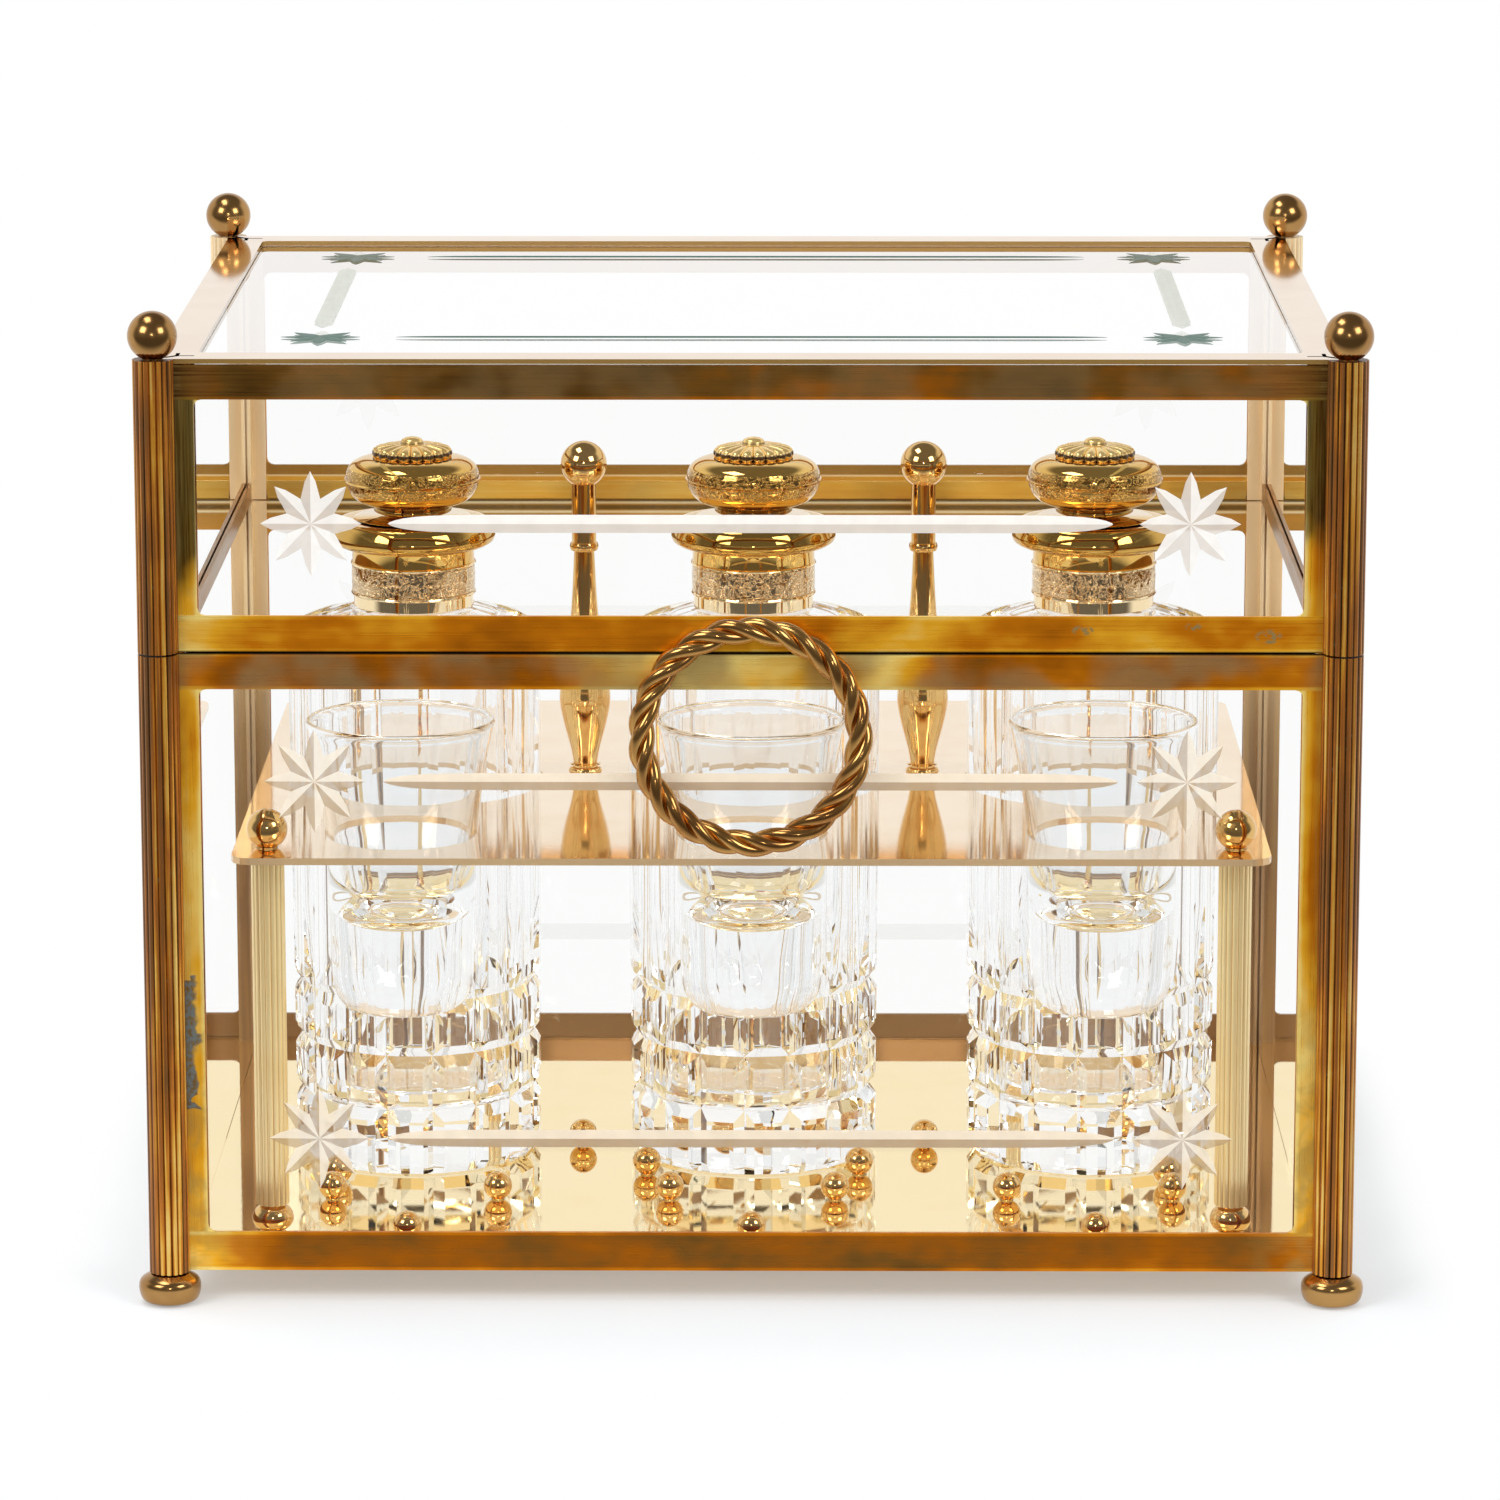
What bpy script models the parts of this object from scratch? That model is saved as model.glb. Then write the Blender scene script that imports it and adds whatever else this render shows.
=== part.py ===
"""Liqueur case: a brass and glass box on ball feet, with a hinged lid and a lift-out rack of glassware.

The case stands on z = 0 with its middle at the origin and its front towards -Y.
Every length is in metres and is written in millimetres here.
"""

import math

import bmesh
import bpy
from mathutils import Matrix, Vector

MM = 0.001

# Clearances
GAP = 0.3 * MM
SEAM_GAP = 0.5 * MM
OVERRUN = 2.0 * MM
SHARP_ANGLE = math.radians(35.0)

# Case footprint, measured between the post centres
POST_SPAN_X = 300.0 * MM
POST_SPAN_Y = 230.0 * MM

# Bun feet
FOOT_R = 8.0 * MM
FOOT_H = 7.8 * MM
FOOT_FLAT_R = 5.2 * MM
FOOT_SEGMENTS = 18

# Reeded corner posts, with the channel folded round the glass inside
POST_R = 5.2 * MM
REED_DEPTH = 0.45 * MM
REED_COUNT = 14
POST_WEB_HALF_W = 1.1 * MM
CHANNEL_T = 1.0 * MM

# Ball finials
FINIAL_R = 6.3 * MM
FINIAL_CENTRE_H = 5.6 * MM
FINIAL_SEGMENTS = 18

# Heights of the two halves
BODY_H = 162.3 * MM
LID_H = 74.9 * MM

# Brass frames and the glass behind them
FRAME_T = 1.2 * MM
PANE_T = 3.0 * MM
STILE_W = 10.0 * MM
BASE_RAIL_H = 10.2 * MM
SEAM_RAIL_H = 9.2 * MM
TOP_RAIL_H = 10.3 * MM
TOP_MARGIN_X = 10.5 * MM
TOP_MARGIN_Y = 11.0 * MM
WINDOW_R = 2.0 * MM
WINDOW_CORNER_STEPS = 3
LID_WEB_T = 1.0 * MM
LID_LEG_H = 5.3 * MM

# Base
BASE_PLATE_T = 0.8 * MM
MIRROR_T = 2.0 * MM
STUD_R = 3.8 * MM
STUD_STEM_R = 1.6 * MM
STUD_SEGMENTS = 8
GLASS_STUD_ROOM = 0.7 * MM
MIDDLE_STUD_ROOM = 6.4 * MM
SIDE_STUD_ROOM = 9.0 * MM
STUD_PITCH_LESS = 1.8 * MM

# Room round the glassware: beside it, in front of the glasses and between the two rows
BAY_MARGIN = 12.75 * MM
FRONT_ROOM = 14.5 * MM
ROW_ROOM = 7.3 * MM
DECANTER_ROOM = 11.75 * MM

# Rack plate
RACK_MARGIN_X = 16.0 * MM
RACK_MARGIN_Y = 14.25 * MM
RACK_T = 1.8 * MM
RACK_UNDERSIDE_H = 100.7 * MM
RACK_CORNER_R = 5.0 * MM
GLASS_HOLE_SEGMENTS = 20
DECANTER_HOLE_SEGMENTS = 24
TENON_HOLE_SEGMENTS = 10
DECANTER_HOLE_CLEARANCE = 1.1 * MM

# Reeded rack columns
COLUMN_MARGIN_X = 8.7 * MM
COLUMN_MARGIN_Y = 12.75 * MM
COLUMN_R = 4.35 * MM
COLUMN_REED_DEPTH = 0.3 * MM
COLUMN_REEDS = 12
COLUMN_FOOT_R = 5.2 * MM
COLUMN_FOOT_H = 6.5 * MM
COLUMN_NECK_R = 3.7 * MM
COLUMN_NECK_H = 0.6 * MM
COLUMN_TENON_R = 2.6 * MM
COLUMN_NUT_R = 5.3 * MM
COLUMN_NUT_STEPS = 5

# Lifting rods
ROD_BEHIND = 7.0 * MM
ROD_R = 3.45 * MM
ROD_STEM_R = 3.3 * MM
ROD_BALL_R = 6.25 * MM
ROD_BALL_CENTRE_H = 85.1 * MM
ROD_RING_R = 3.9 * MM
ROD_RING_H = 2.3 * MM
ROD_RING_FOOT_H = 61.5 * MM
ROD_BELLY_R = 6.9 * MM
ROD_BELLY_H = 21.3 * MM
ROD_TAPER_H = 26.0 * MM
ROD_WAIST_R = 2.75 * MM
ROD_FOOT_R = 4.2 * MM
ROD_FOOT_H = 2.7 * MM
ROD_SEGMENTS = 14
ROD_BALL_STEPS = 6

# Decanters
DECANTER_DRAW = 0.8 * MM
DECANTER_BEVEL = 2.1 * MM
DECANTER_BEVEL_H = 2.9 * MM
DECANTER_CUT_DEPTH = 1.5 * MM
DECANTER_CUT_HALF_W = 1.5 * MM
DECANTER_CUT_FOOT_H = 18.0 * MM
DECANTER_CUT_PITCH = 15.05 * MM
DECANTER_CUT_ROWS = 3
DECANTER_COLUMNS = 16
DECANTER_WALL_H = 139.0 * MM
DECANTER_SHOULDER_IN = 5.5 * MM
DECANTER_SHOULDER_H = 8.5 * MM
DECANTER_SHOULDER_RISE = 3.3 * MM
DECANTER_NECK_R = 14.5 * MM
DECANTER_NECK_H = 16.5 * MM
DECANTER_BORE_R = 11.2 * MM
DECANTER_GLASS_T = 8.5 * MM
DECANTER_BASE_T = 20.0 * MM

# Gilt collars
COLLAR_R = 16.1 * MM
COLLAR_H = 12.9 * MM
COLLAR_BAND_R = 16.8 * MM
COLLAR_BAND_H = 8.6 * MM
COLLAR_BAND_FOOT_H = 3.1 * MM
FLANGE_R = 22.1 * MM
FLANGE_H = 10.4 * MM
FLANGE_DISH = 0.4 * MM
COLLAR_SEGMENTS = 18

# Gilt stoppers
SHANK_R = 10.35 * MM
SHANK_TAPER = 0.7 * MM
SHANK_BELOW_FLANGE = 17.0 * MM
STOPPER_NECK_H = 3.0 * MM
STOPPER_R = 18.1 * MM
STOPPER_H = 12.6 * MM
ROSETTE_R = 10.9 * MM
ROSETTE_H = 5.6 * MM
ROSETTE_SUNK = 0.3 * MM
ROSETTE_PETALS = 18
STOPPER_SEGMENTS = 20
ROSETTE_CUT_DEPTH = 0.8 * MM

# Shot glasses
GLASS_RIM_R = 24.7 * MM
GLASS_RIM_H = 30.8 * MM
GLASS_SEAT_R = 19.7 * MM
GLASS_FOOT_R = 18.7 * MM
GLASS_BELOW_SEAT = 46.3 * MM
GLASS_FOOT_H = 7.4 * MM
GLASS_WALL = 1.7 * MM
GLASS_BASE_T = 22.2 * MM
GLASS_FILLET = 6.5 * MM
GLASS_SEGMENTS = 22

# Twisted ring handle
RING_OUTER_R = 31.1 * MM
RING_RISE = 9.9 * MM
STRAND_R = 1.62 * MM
STRANDS = 3
RING_TWISTS = 7
RING_STEPS = 63
STRAND_POINTS = 3

# Hinges
HINGE_INSET = 55.0 * MM
HINGE_W = 22.0 * MM
HINGE_LEAF_T = 1.2 * MM
HINGE_LEAF_H = 7.6 * MM
KNUCKLE_R = 2.3 * MM
KNUCKLE_MIDDLE_W = 9.4 * MM
PIN_R = 1.0 * MM
PIN_CLEARANCE = 0.25 * MM
HINGE_POST_CLEARANCE = 0.5 * MM
HINGE_SEGMENTS = 12

# Shares of the lengths above, for outlines
FOOT_SHARES = ((0.90, 0.16), (1.0, 0.5), (0.90, 0.84))
COLUMN_FOOT_SHARES = ((0.66, 0.0), (0.90, 0.18), (1.0, 0.48), (0.90, 0.84))
ROD_BELLY_SHARES = ((0.45, 0.0), (0.60, 0.32), (0.92, 0.76), (1.0, 0.96))
SHOULDER_SHARES = ((1.0, 0.0), (0.80, 0.42), (0.40, 0.78), (0.0, 1.0))
CAVITY_FOOT_SHARES = ((0.0, 0.0), (0.88, 0.08), (1.0, 0.34))
FLANGE_SHARES = (
    (0.78, 0.05), (0.87, 0.18), (0.97, 0.44), (1.0, 0.54), (1.0, 0.64), (0.965, 0.86), (0.905, 1.0),
)
STOPPER_SHARES = ((0.58, 0.0), (0.83, 0.17), (1.0, 0.54), (0.93, 0.79), (0.74, 0.95))
ROSETTE_SHARES = ((0.94, 0.0), (1.0, 0.20), (0.74, 0.60), (0.40, 0.66), (0.30, 0.90))
GLASS_FOOT_SHARES = ((0.76, 0.0), (0.91, 0.36), (1.0, 1.0))
GLASS_STUD_ANGLES = (270.0, 30.0, 150.0)
DECANTER_STUD_ANGLES = {-1: (0.0, 120.0, 240.0), 0: (90.0, 225.0, 315.0), 1: (180.0, 300.0, 60.0)}
STUD_BALL_LIFT_SHARE = 0.907

# Levels and planes that follow from the sizes
POST_X = POST_SPAN_X / 2
POST_Y = POST_SPAN_Y / 2
BODY_Z = FOOT_H + GAP
BODY_TOP_Z = BODY_Z + BODY_H
LID_Z = BODY_TOP_Z + SEAM_GAP
LID_TOP_Z = LID_Z + LID_H
MIRROR_Z = BODY_Z + BASE_PLATE_T + GAP
MIRROR_TOP_Z = MIRROR_Z + MIRROR_T
STANDING_Z = MIRROR_TOP_Z + GAP
TOP_FRAME_Z = LID_TOP_Z - FRAME_T
LID_WALL_TOP_Z = TOP_FRAME_Z - GAP
TOP_PANE_Z = LID_WALL_TOP_Z - PANE_T
LID_CHANNEL_TOP_Z = TOP_PANE_Z - GAP
RACK_Z = STANDING_Z + RACK_UNDERSIDE_H
RACK_TOP_Z = RACK_Z + RACK_T
ON_RACK_Z = RACK_TOP_Z + GAP

# Distances in from the plane through the post centres
FRAME_OUTSIDE = GAP
FRAME_INSIDE = FRAME_OUTSIDE + FRAME_T
PANE_OUTSIDE = FRAME_INSIDE + GAP
PANE_INSIDE = PANE_OUTSIDE + PANE_T
CHANNEL_OUTSIDE = PANE_INSIDE + GAP
CHANNEL_INSIDE = CHANNEL_OUTSIDE + CHANNEL_T
CHANNEL_END = STILE_W
FRAME_END = FRAME_INSIDE + POST_WEB_HALF_W + GAP
PANE_END = PANE_INSIDE + POST_WEB_HALF_W + GAP

# Decanters and glasses stand in pairs, one behind the other
GLASSWARE_PLACES = (("left", -1), ("middle", 0), ("right", 1))

# Plan of the glassware, the rack and the hinges
GLASSWARE_PITCH = (POST_SPAN_X - 2 * BAY_MARGIN) / len(GLASSWARE_PLACES)
STUD_PITCH = GLASSWARE_PITCH - STUD_PITCH_LESS
DECANTER_R = GLASSWARE_PITCH / 2 - DECANTER_ROOM
DECANTER_CAVITY_R = DECANTER_R - DECANTER_GLASS_T
DECANTER_SHOULDER_R = DECANTER_R - DECANTER_SHOULDER_IN
GLASS_Y = FRONT_ROOM + GLASS_RIM_R + PANE_INSIDE - POST_Y
DECANTER_Y = GLASS_Y + GLASS_RIM_R + ROW_ROOM + DECANTER_R
RACK_X = POST_SPAN_X - 2 * RACK_MARGIN_X
RACK_Y = POST_SPAN_Y - 2 * RACK_MARGIN_Y
COLUMN_X = RACK_X / 2 - COLUMN_MARGIN_X
COLUMN_Y = RACK_Y / 2 - COLUMN_MARGIN_Y
ROD_X = GLASSWARE_PITCH / 2
ROD_Y = DECANTER_Y + ROD_BEHIND
HINGE_X = POST_X - HINGE_INSET

# The hinge axis runs just behind the rear posts, at the seam
HINGE_Y = POST_Y + POST_R + HINGE_POST_CLEARANCE
HINGE_Z = BODY_TOP_Z + SEAM_GAP / 2

# The lid's walls, by name, turn about Z and which span and distance they use
WALLS = (
    ("front", 0.0, POST_SPAN_X, POST_Y),
    ("right", 90.0, POST_SPAN_Y, POST_X),
    ("back", 180.0, POST_SPAN_X, POST_Y),
    ("left", 270.0, POST_SPAN_Y, POST_X),
)
CORNERS = (
    ("front_left", -1, -1),
    ("front_right", 1, -1),
    ("back_right", 1, 1),
    ("back_left", -1, 1),
)


def clear_scene():
    """Remove whatever objects the scene holds."""
    for obj in list(bpy.data.objects):
        bpy.data.objects.remove(obj, do_unlink=True)


def principled(name, colour, roughness, metallic, transmission=0.0):
    """A material with one Principled BSDF."""
    made = bpy.data.materials.new(name)
    made.use_nodes = True
    shader = made.node_tree.nodes["Principled BSDF"]
    shader.inputs["Base Color"].default_value = (*colour, 1.0)
    shader.inputs["Roughness"].default_value = roughness
    shader.inputs["Metallic"].default_value = metallic
    shader.inputs["Transmission Weight"].default_value = transmission
    return made


def aged_brass(name):
    """Brown-gold brass with a dull polish."""
    return principled(name, (0.52, 0.33, 0.10), 0.32, 1.0)


def bright_brass(name):
    """Yellow brass, freshly polished."""
    return principled(name, (0.80, 0.55, 0.20), 0.18, 1.0)


def gilt(name):
    """Deep yellow gilding."""
    return principled(name, (0.86, 0.58, 0.18), 0.14, 1.0)


def gold_mirror(name):
    """Mirror with a pale gold tint."""
    return principled(name, (0.92, 0.80, 0.62), 0.04, 1.0)


def clear_glass(name):
    """Colourless glass."""
    return principled(name, (0.96, 0.98, 0.98), 0.02, 0.0, 1.0)


def add_empty(name, location):
    """An empty whose place is the origin or the joint axis of a body."""
    empty = bpy.data.objects.new(name, None)
    empty.location = location
    bpy.context.scene.collection.objects.link(empty)
    return empty


def add_object(name, shape, finish, parent, location, turn=(0.0, 0.0, 0.0)):
    """Turn a bmesh into a named object, placed in the world and hung under its body's empty."""
    bmesh.ops.recalc_face_normals(shape, faces=shape.faces)
    mesh = bpy.data.meshes.new(name)
    shape.to_mesh(mesh)
    shape.free()
    mesh.shade_smooth()
    mesh.set_sharp_from_angle(angle=SHARP_ANGLE)
    mesh.materials.append(finish)
    obj = bpy.data.objects.new(name, mesh)
    obj.parent = parent
    obj.location = Vector(location) - parent.location
    obj.rotation_euler = turn
    bpy.context.scene.collection.objects.link(obj)
    return obj


def add_cutter(name, shape, obj):
    """A wire-drawn helper that sits where the object sits."""
    cutter = add_object(name, shape, obj.data.materials[0], obj.parent, obj.parent.location)
    cutter.location = obj.location
    cutter.rotation_euler = obj.rotation_euler
    cutter.hide_render = True
    cutter.display_type = "WIRE"
    return cutter


def combine(obj, shape, operation):
    """Cut a shape from an object, or join it on, with a Boolean modifier."""
    tool = add_cutter(obj.name + "_" + operation.lower(), shape, obj)
    modifier = obj.modifiers.new(operation.title(), "BOOLEAN")
    modifier.operation = operation
    modifier.object = tool


def add_box(shape, low, high):
    """Add an axis-aligned box between two corners."""
    low = Vector(low)
    high = Vector(high)
    size = high - low
    placed = Matrix.Translation((low + high) / 2) @ Matrix.Diagonal((*size, 1.0))
    bmesh.ops.create_cube(shape, size=1.0, matrix=placed)


def add_prism(shape, outline, low, high):
    """Extrude an outline in X and Y from one height to another."""
    corners = [shape.verts.new((x, y, low)) for x, y in outline]
    face = shape.faces.new(corners)
    made = bmesh.ops.extrude_face_region(shape, geom=[face])
    moved = [part for part in made["geom"] if isinstance(part, bmesh.types.BMVert)]
    bmesh.ops.translate(shape, verts=moved, vec=(0.0, 0.0, high - low))


def add_turned(shape, profile, segments, place=(0.0, 0.0), closed=False, ripple=None):
    """Turn (radius, height) points about an upright axis; zero radius closes the shape on the axis.

    A ripple function may change the radius from one segment to the next.
    """
    rings = []
    for radius, height in profile:
        if radius == 0.0:
            rings.append([shape.verts.new((place[0], place[1], height))])
            continue
        ring = []
        for step in range(segments):
            angle = math.tau * step / segments
            here = ripple(step, radius, height) if ripple else radius
            x = place[0] + here * math.cos(angle)
            y = place[1] + here * math.sin(angle)
            ring.append(shape.verts.new((x, y, height)))
        rings.append(ring)
    pairs = list(zip(rings, rings[1:]))
    if closed:
        pairs.append((rings[-1], rings[0]))
    for lower, upper in pairs:
        for step in range(segments):
            after = (step + 1) % segments
            if len(lower) == 1:
                shape.faces.new((lower[0], upper[after], upper[step]))
            elif len(upper) == 1:
                shape.faces.new((lower[step], lower[after], upper[0]))
            else:
                shape.faces.new((lower[step], lower[after], upper[after], upper[step]))


def ball_profile(radius, centre, low, high, steps):
    """Points down a ball's side between two angles above its equator, in degrees."""
    points = []
    for step in range(steps + 1):
        angle = math.radians(low + (high - low) * step / steps)
        points.append((radius * math.cos(angle), centre + radius * math.sin(angle)))
    return points


def shared(shares, radius, low, height):
    """Profile points from shares of a radius and of a height above a level."""
    return [(radius * across, low + height * up) for across, up in shares]


def round_rectangle(half_x, half_y, radius, steps):
    """Outline of a rectangle with rounded corners."""
    outline = []
    for quarter, (sign_x, sign_y) in enumerate(((1, 1), (-1, 1), (-1, -1), (1, -1))):
        for step in range(steps + 1):
            angle = math.radians(90.0 * (quarter + step / steps))
            x = sign_x * (half_x - radius) + radius * math.cos(angle)
            y = sign_y * (half_y - radius) + radius * math.sin(angle)
            outline.append((x, y))
    return outline


def circle_outline(radius, centre, segments):
    """Outline of a circle."""
    angles = [math.tau * step / segments for step in range(segments)]
    return [(centre[0] + radius * math.cos(a), centre[1] + radius * math.sin(a)) for a in angles]


def foot(name, parent, corner_x, corner_y):
    """Bun foot, flat below and above."""
    profile = [(0.0, 0.0), (FOOT_FLAT_R, 0.0)]
    profile += shared(FOOT_SHARES, FOOT_R, 0.0, FOOT_H)
    profile += [(FOOT_FLAT_R, FOOT_H), (0.0, FOOT_H)]
    shape = bmesh.new()
    add_turned(shape, profile, FOOT_SEGMENTS)
    add_object(name, shape, aged_brass(name), parent, (corner_x * POST_X, corner_y * POST_Y, 0.0))


def post_outline(corner_x, corner_y):
    """Three-quarter round reeded post with its inner corner channel, about the post's centre."""
    web = POST_WEB_HALF_W
    inner = CHANNEL_OUTSIDE
    leaf = CHANNEL_INSIDE
    end = CHANNEL_END
    points = [(POST_R, 0.0), (web, 0.0), (inner + web, inner), (end, inner), (end, leaf)]
    points += [(leaf, leaf)]
    points += [(leaf, end), (inner, end), (inner, inner + web), (0.0, web), (0.0, POST_R)]
    steps = 2 * REED_COUNT
    for step in range(1, steps):
        angle = math.radians(90.0 + 270.0 * step / steps)
        radius = POST_R - REED_DEPTH if step % 2 == 0 else POST_R
        points.append((radius * math.cos(angle), radius * math.sin(angle)))
    return [(-corner_x * along, -corner_y * across) for along, across in points]


def post(name, parent, corner_x, corner_y, low, high, cut_low, cut_high):
    """Corner post, with its inner corner cut away between two levels for what lies there."""
    shape = bmesh.new()
    add_prism(shape, post_outline(corner_x, corner_y), 0.0, high - low)
    place = (corner_x * POST_X, corner_y * POST_Y, low)
    obj = add_object(name, shape, aged_brass(name), parent, place)
    reach = CHANNEL_END + OVERRUN
    cut = bmesh.new()
    near_x, far_x = sorted((0.0, -corner_x * reach))
    near_y, far_y = sorted((0.0, -corner_y * reach))
    add_box(cut, (near_x, near_y, cut_low - low), (far_x, far_y, cut_high - low))
    combine(obj, cut, "DIFFERENCE")


def finial(name, parent, corner_x, corner_y):
    """Ball finial with a small flat where it sits on its post."""
    low = -math.degrees(math.asin(FINIAL_CENTRE_H / FINIAL_R))
    steps = FINIAL_SEGMENTS // 2 - 1
    profile = [(0.0, 0.0)] + ball_profile(FINIAL_R, FINIAL_CENTRE_H, low, 90.0, steps)[:-1]
    profile += [(0.0, FINIAL_CENTRE_H + FINIAL_R)]
    shape = bmesh.new()
    add_turned(shape, profile, FINIAL_SEGMENTS)
    place = (corner_x * POST_X, corner_y * POST_Y, LID_TOP_Z + GAP)
    add_object(name, shape, aged_brass(name), parent, place)


def wall_turn(turn_deg):
    """Rotation that stands a flat panel up, with its top face outwards."""
    return (math.radians(90.0), 0.0, math.radians(turn_deg))


def wall_place(turn_deg, distance):
    """The foot of the plane through the post centres on one side."""
    angle = math.radians(turn_deg)
    return (distance * math.sin(angle), -distance * math.cos(angle), 0.0)


def window_cut(half_x, low, high):
    """Cutter for a wall's round-cornered window, in the panel's own plane."""
    cut = bmesh.new()
    outline = round_rectangle(half_x, (high - low) / 2, WINDOW_R, WINDOW_CORNER_STEPS)
    middle = (high + low) / 2
    outline = [(x, y + middle) for x, y in outline]
    add_prism(cut, outline, -FRAME_INSIDE - OVERRUN / 2, OVERRUN)
    return cut


def body_frame(name, parent, turn_deg, span, distance):
    """Flat brass frame of the body with one window."""
    half = span / 2
    shape = bmesh.new()
    add_box(shape, (FRAME_END - half, BODY_Z, -FRAME_INSIDE), (half - FRAME_END, BODY_TOP_Z, -FRAME_OUTSIDE))
    obj = add_object(name, shape, aged_brass(name), parent, wall_place(turn_deg, distance), wall_turn(turn_deg))
    low = BODY_Z + BASE_RAIL_H
    high = BODY_TOP_Z - SEAM_RAIL_H
    combine(obj, window_cut(half - STILE_W, low, high), "DIFFERENCE")


def lid_frame(name, parent, turn_deg, span, distance):
    """Flat brass frame of the lid; its lower edge is folded inwards and up, and holds the pane."""
    half = span / 2
    end = half - FRAME_END
    shape = bmesh.new()
    add_box(shape, (-end, LID_Z, -FRAME_INSIDE), (end, LID_WALL_TOP_Z, -FRAME_OUTSIDE))
    obj = add_object(name, shape, aged_brass(name), parent, wall_place(turn_deg, distance), wall_turn(turn_deg))
    low = LID_Z + SEAM_RAIL_H
    high = LID_TOP_Z - TOP_RAIL_H
    combine(obj, window_cut(half - STILE_W, low, high), "DIFFERENCE")
    leg = half - CHANNEL_END - GAP
    section = [
        (-FRAME_OUTSIDE - FRAME_T / 2, LID_Z),
        (-FRAME_OUTSIDE - FRAME_T / 2, LID_Z + LID_WEB_T),
        (-CHANNEL_OUTSIDE, LID_Z + LID_WEB_T),
        (-CHANNEL_OUTSIDE, LID_Z + LID_LEG_H),
        (-CHANNEL_INSIDE, LID_Z + LID_LEG_H),
        (-CHANNEL_INSIDE, LID_Z),
    ]
    fold = bmesh.new()
    add_prism(fold, section, -leg, leg)
    across = Matrix(((0.0, 0.0, 1.0), (0.0, 1.0, 0.0), (1.0, 0.0, 0.0)))
    bmesh.ops.transform(fold, matrix=across.to_4x4(), verts=fold.verts)
    combine(obj, fold, "UNION")


def wall_pane(name, parent, turn_deg, span, distance, low, high):
    """Pane of one wall."""
    half = span / 2
    shape = bmesh.new()
    add_box(shape, (PANE_END - half, low, -PANE_INSIDE), (half - PANE_END, high, -PANE_OUTSIDE))
    add_object(name, shape, clear_glass(name), parent, wall_place(turn_deg, distance), wall_turn(turn_deg))


def top_frame(name, parent):
    """Flat polished frame on top of the lid."""
    half_x = POST_X - FRAME_OUTSIDE
    half_y = POST_Y - FRAME_OUTSIDE
    shape = bmesh.new()
    add_box(shape, (-half_x, -half_y, 0.0), (half_x, half_y, FRAME_T))
    obj = add_object(name, shape, bright_brass(name), parent, (0.0, 0.0, TOP_FRAME_Z))
    window_x = POST_X - TOP_MARGIN_X
    window_y = POST_Y - TOP_MARGIN_Y
    cut = bmesh.new()
    outline = round_rectangle(window_x, window_y, WINDOW_R, WINDOW_CORNER_STEPS)
    add_prism(cut, outline, -OVERRUN, FRAME_T + OVERRUN)
    combine(obj, cut, "DIFFERENCE")


def top_pane(name, parent):
    """Pane under the top frame, on the ends of the corner channels."""
    half_x = POST_X - CHANNEL_OUTSIDE
    half_y = POST_Y - CHANNEL_OUTSIDE
    shape = bmesh.new()
    add_box(shape, (-half_x, -half_y, 0.0), (half_x, half_y, PANE_T))
    add_object(name, shape, clear_glass(name), parent, (0.0, 0.0, TOP_PANE_Z))


def stud_places():
    """Where the ball studs stand on the mirror."""
    places = []
    for _, side in GLASSWARE_PLACES:
        x = side * STUD_PITCH
        for degrees in GLASS_STUD_ANGLES:
            places.append((x, GLASS_Y, GLASS_RIM_R + GLASS_STUD_ROOM, degrees))
        circle = DECANTER_R + (SIDE_STUD_ROOM if side else MIDDLE_STUD_ROOM)
        for degrees in DECANTER_STUD_ANGLES[side]:
            places.append((x, DECANTER_Y, circle, degrees))
    spots = []
    for x, y, circle, degrees in places:
        angle = math.radians(degrees)
        spots.append((x + circle * math.cos(angle), y + circle * math.sin(angle)))
    return spots


def base_plate(name, parent):
    """Brass plate under the mirror, with the ball studs that stand up through it."""
    half_x = POST_X - PANE_OUTSIDE
    half_y = POST_Y - PANE_OUTSIDE
    shape = bmesh.new()
    add_box(shape, (-half_x, -half_y, 0.0), (half_x, half_y, BASE_PLATE_T))
    obj = add_object(name, shape, bright_brass(name), parent, (0.0, 0.0, BODY_Z))
    studs = bmesh.new()
    low = -math.degrees(math.acos(STUD_STEM_R / STUD_R))
    centre = STANDING_Z - BODY_Z + STUD_R * STUD_BALL_LIFT_SHARE
    for spot in stud_places():
        profile = [(0.0, BASE_PLATE_T / 2), (STUD_STEM_R, BASE_PLATE_T / 2)]
        profile += ball_profile(STUD_R, centre, low, 90.0, STUD_SEGMENTS // 2)[:-1]
        profile += [(0.0, centre + STUD_R)]
        add_turned(studs, profile, STUD_SEGMENTS, spot)
    combine(obj, studs, "UNION")


def base_mirror(name, parent):
    """Mirror on the base plate, drilled for the studs."""
    half_x = POST_X - PANE_OUTSIDE
    half_y = POST_Y - PANE_OUTSIDE
    shape = bmesh.new()
    add_box(shape, (-half_x, -half_y, 0.0), (half_x, half_y, MIRROR_T))
    obj = add_object(name, shape, gold_mirror(name), parent, (0.0, 0.0, MIRROR_Z))
    holes = bmesh.new()
    for spot in stud_places():
        outline = circle_outline(STUD_STEM_R + GAP, spot, STUD_SEGMENTS)
        add_prism(holes, outline, -OVERRUN, MIRROR_T + OVERRUN)
    combine(obj, holes, "DIFFERENCE")


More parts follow.
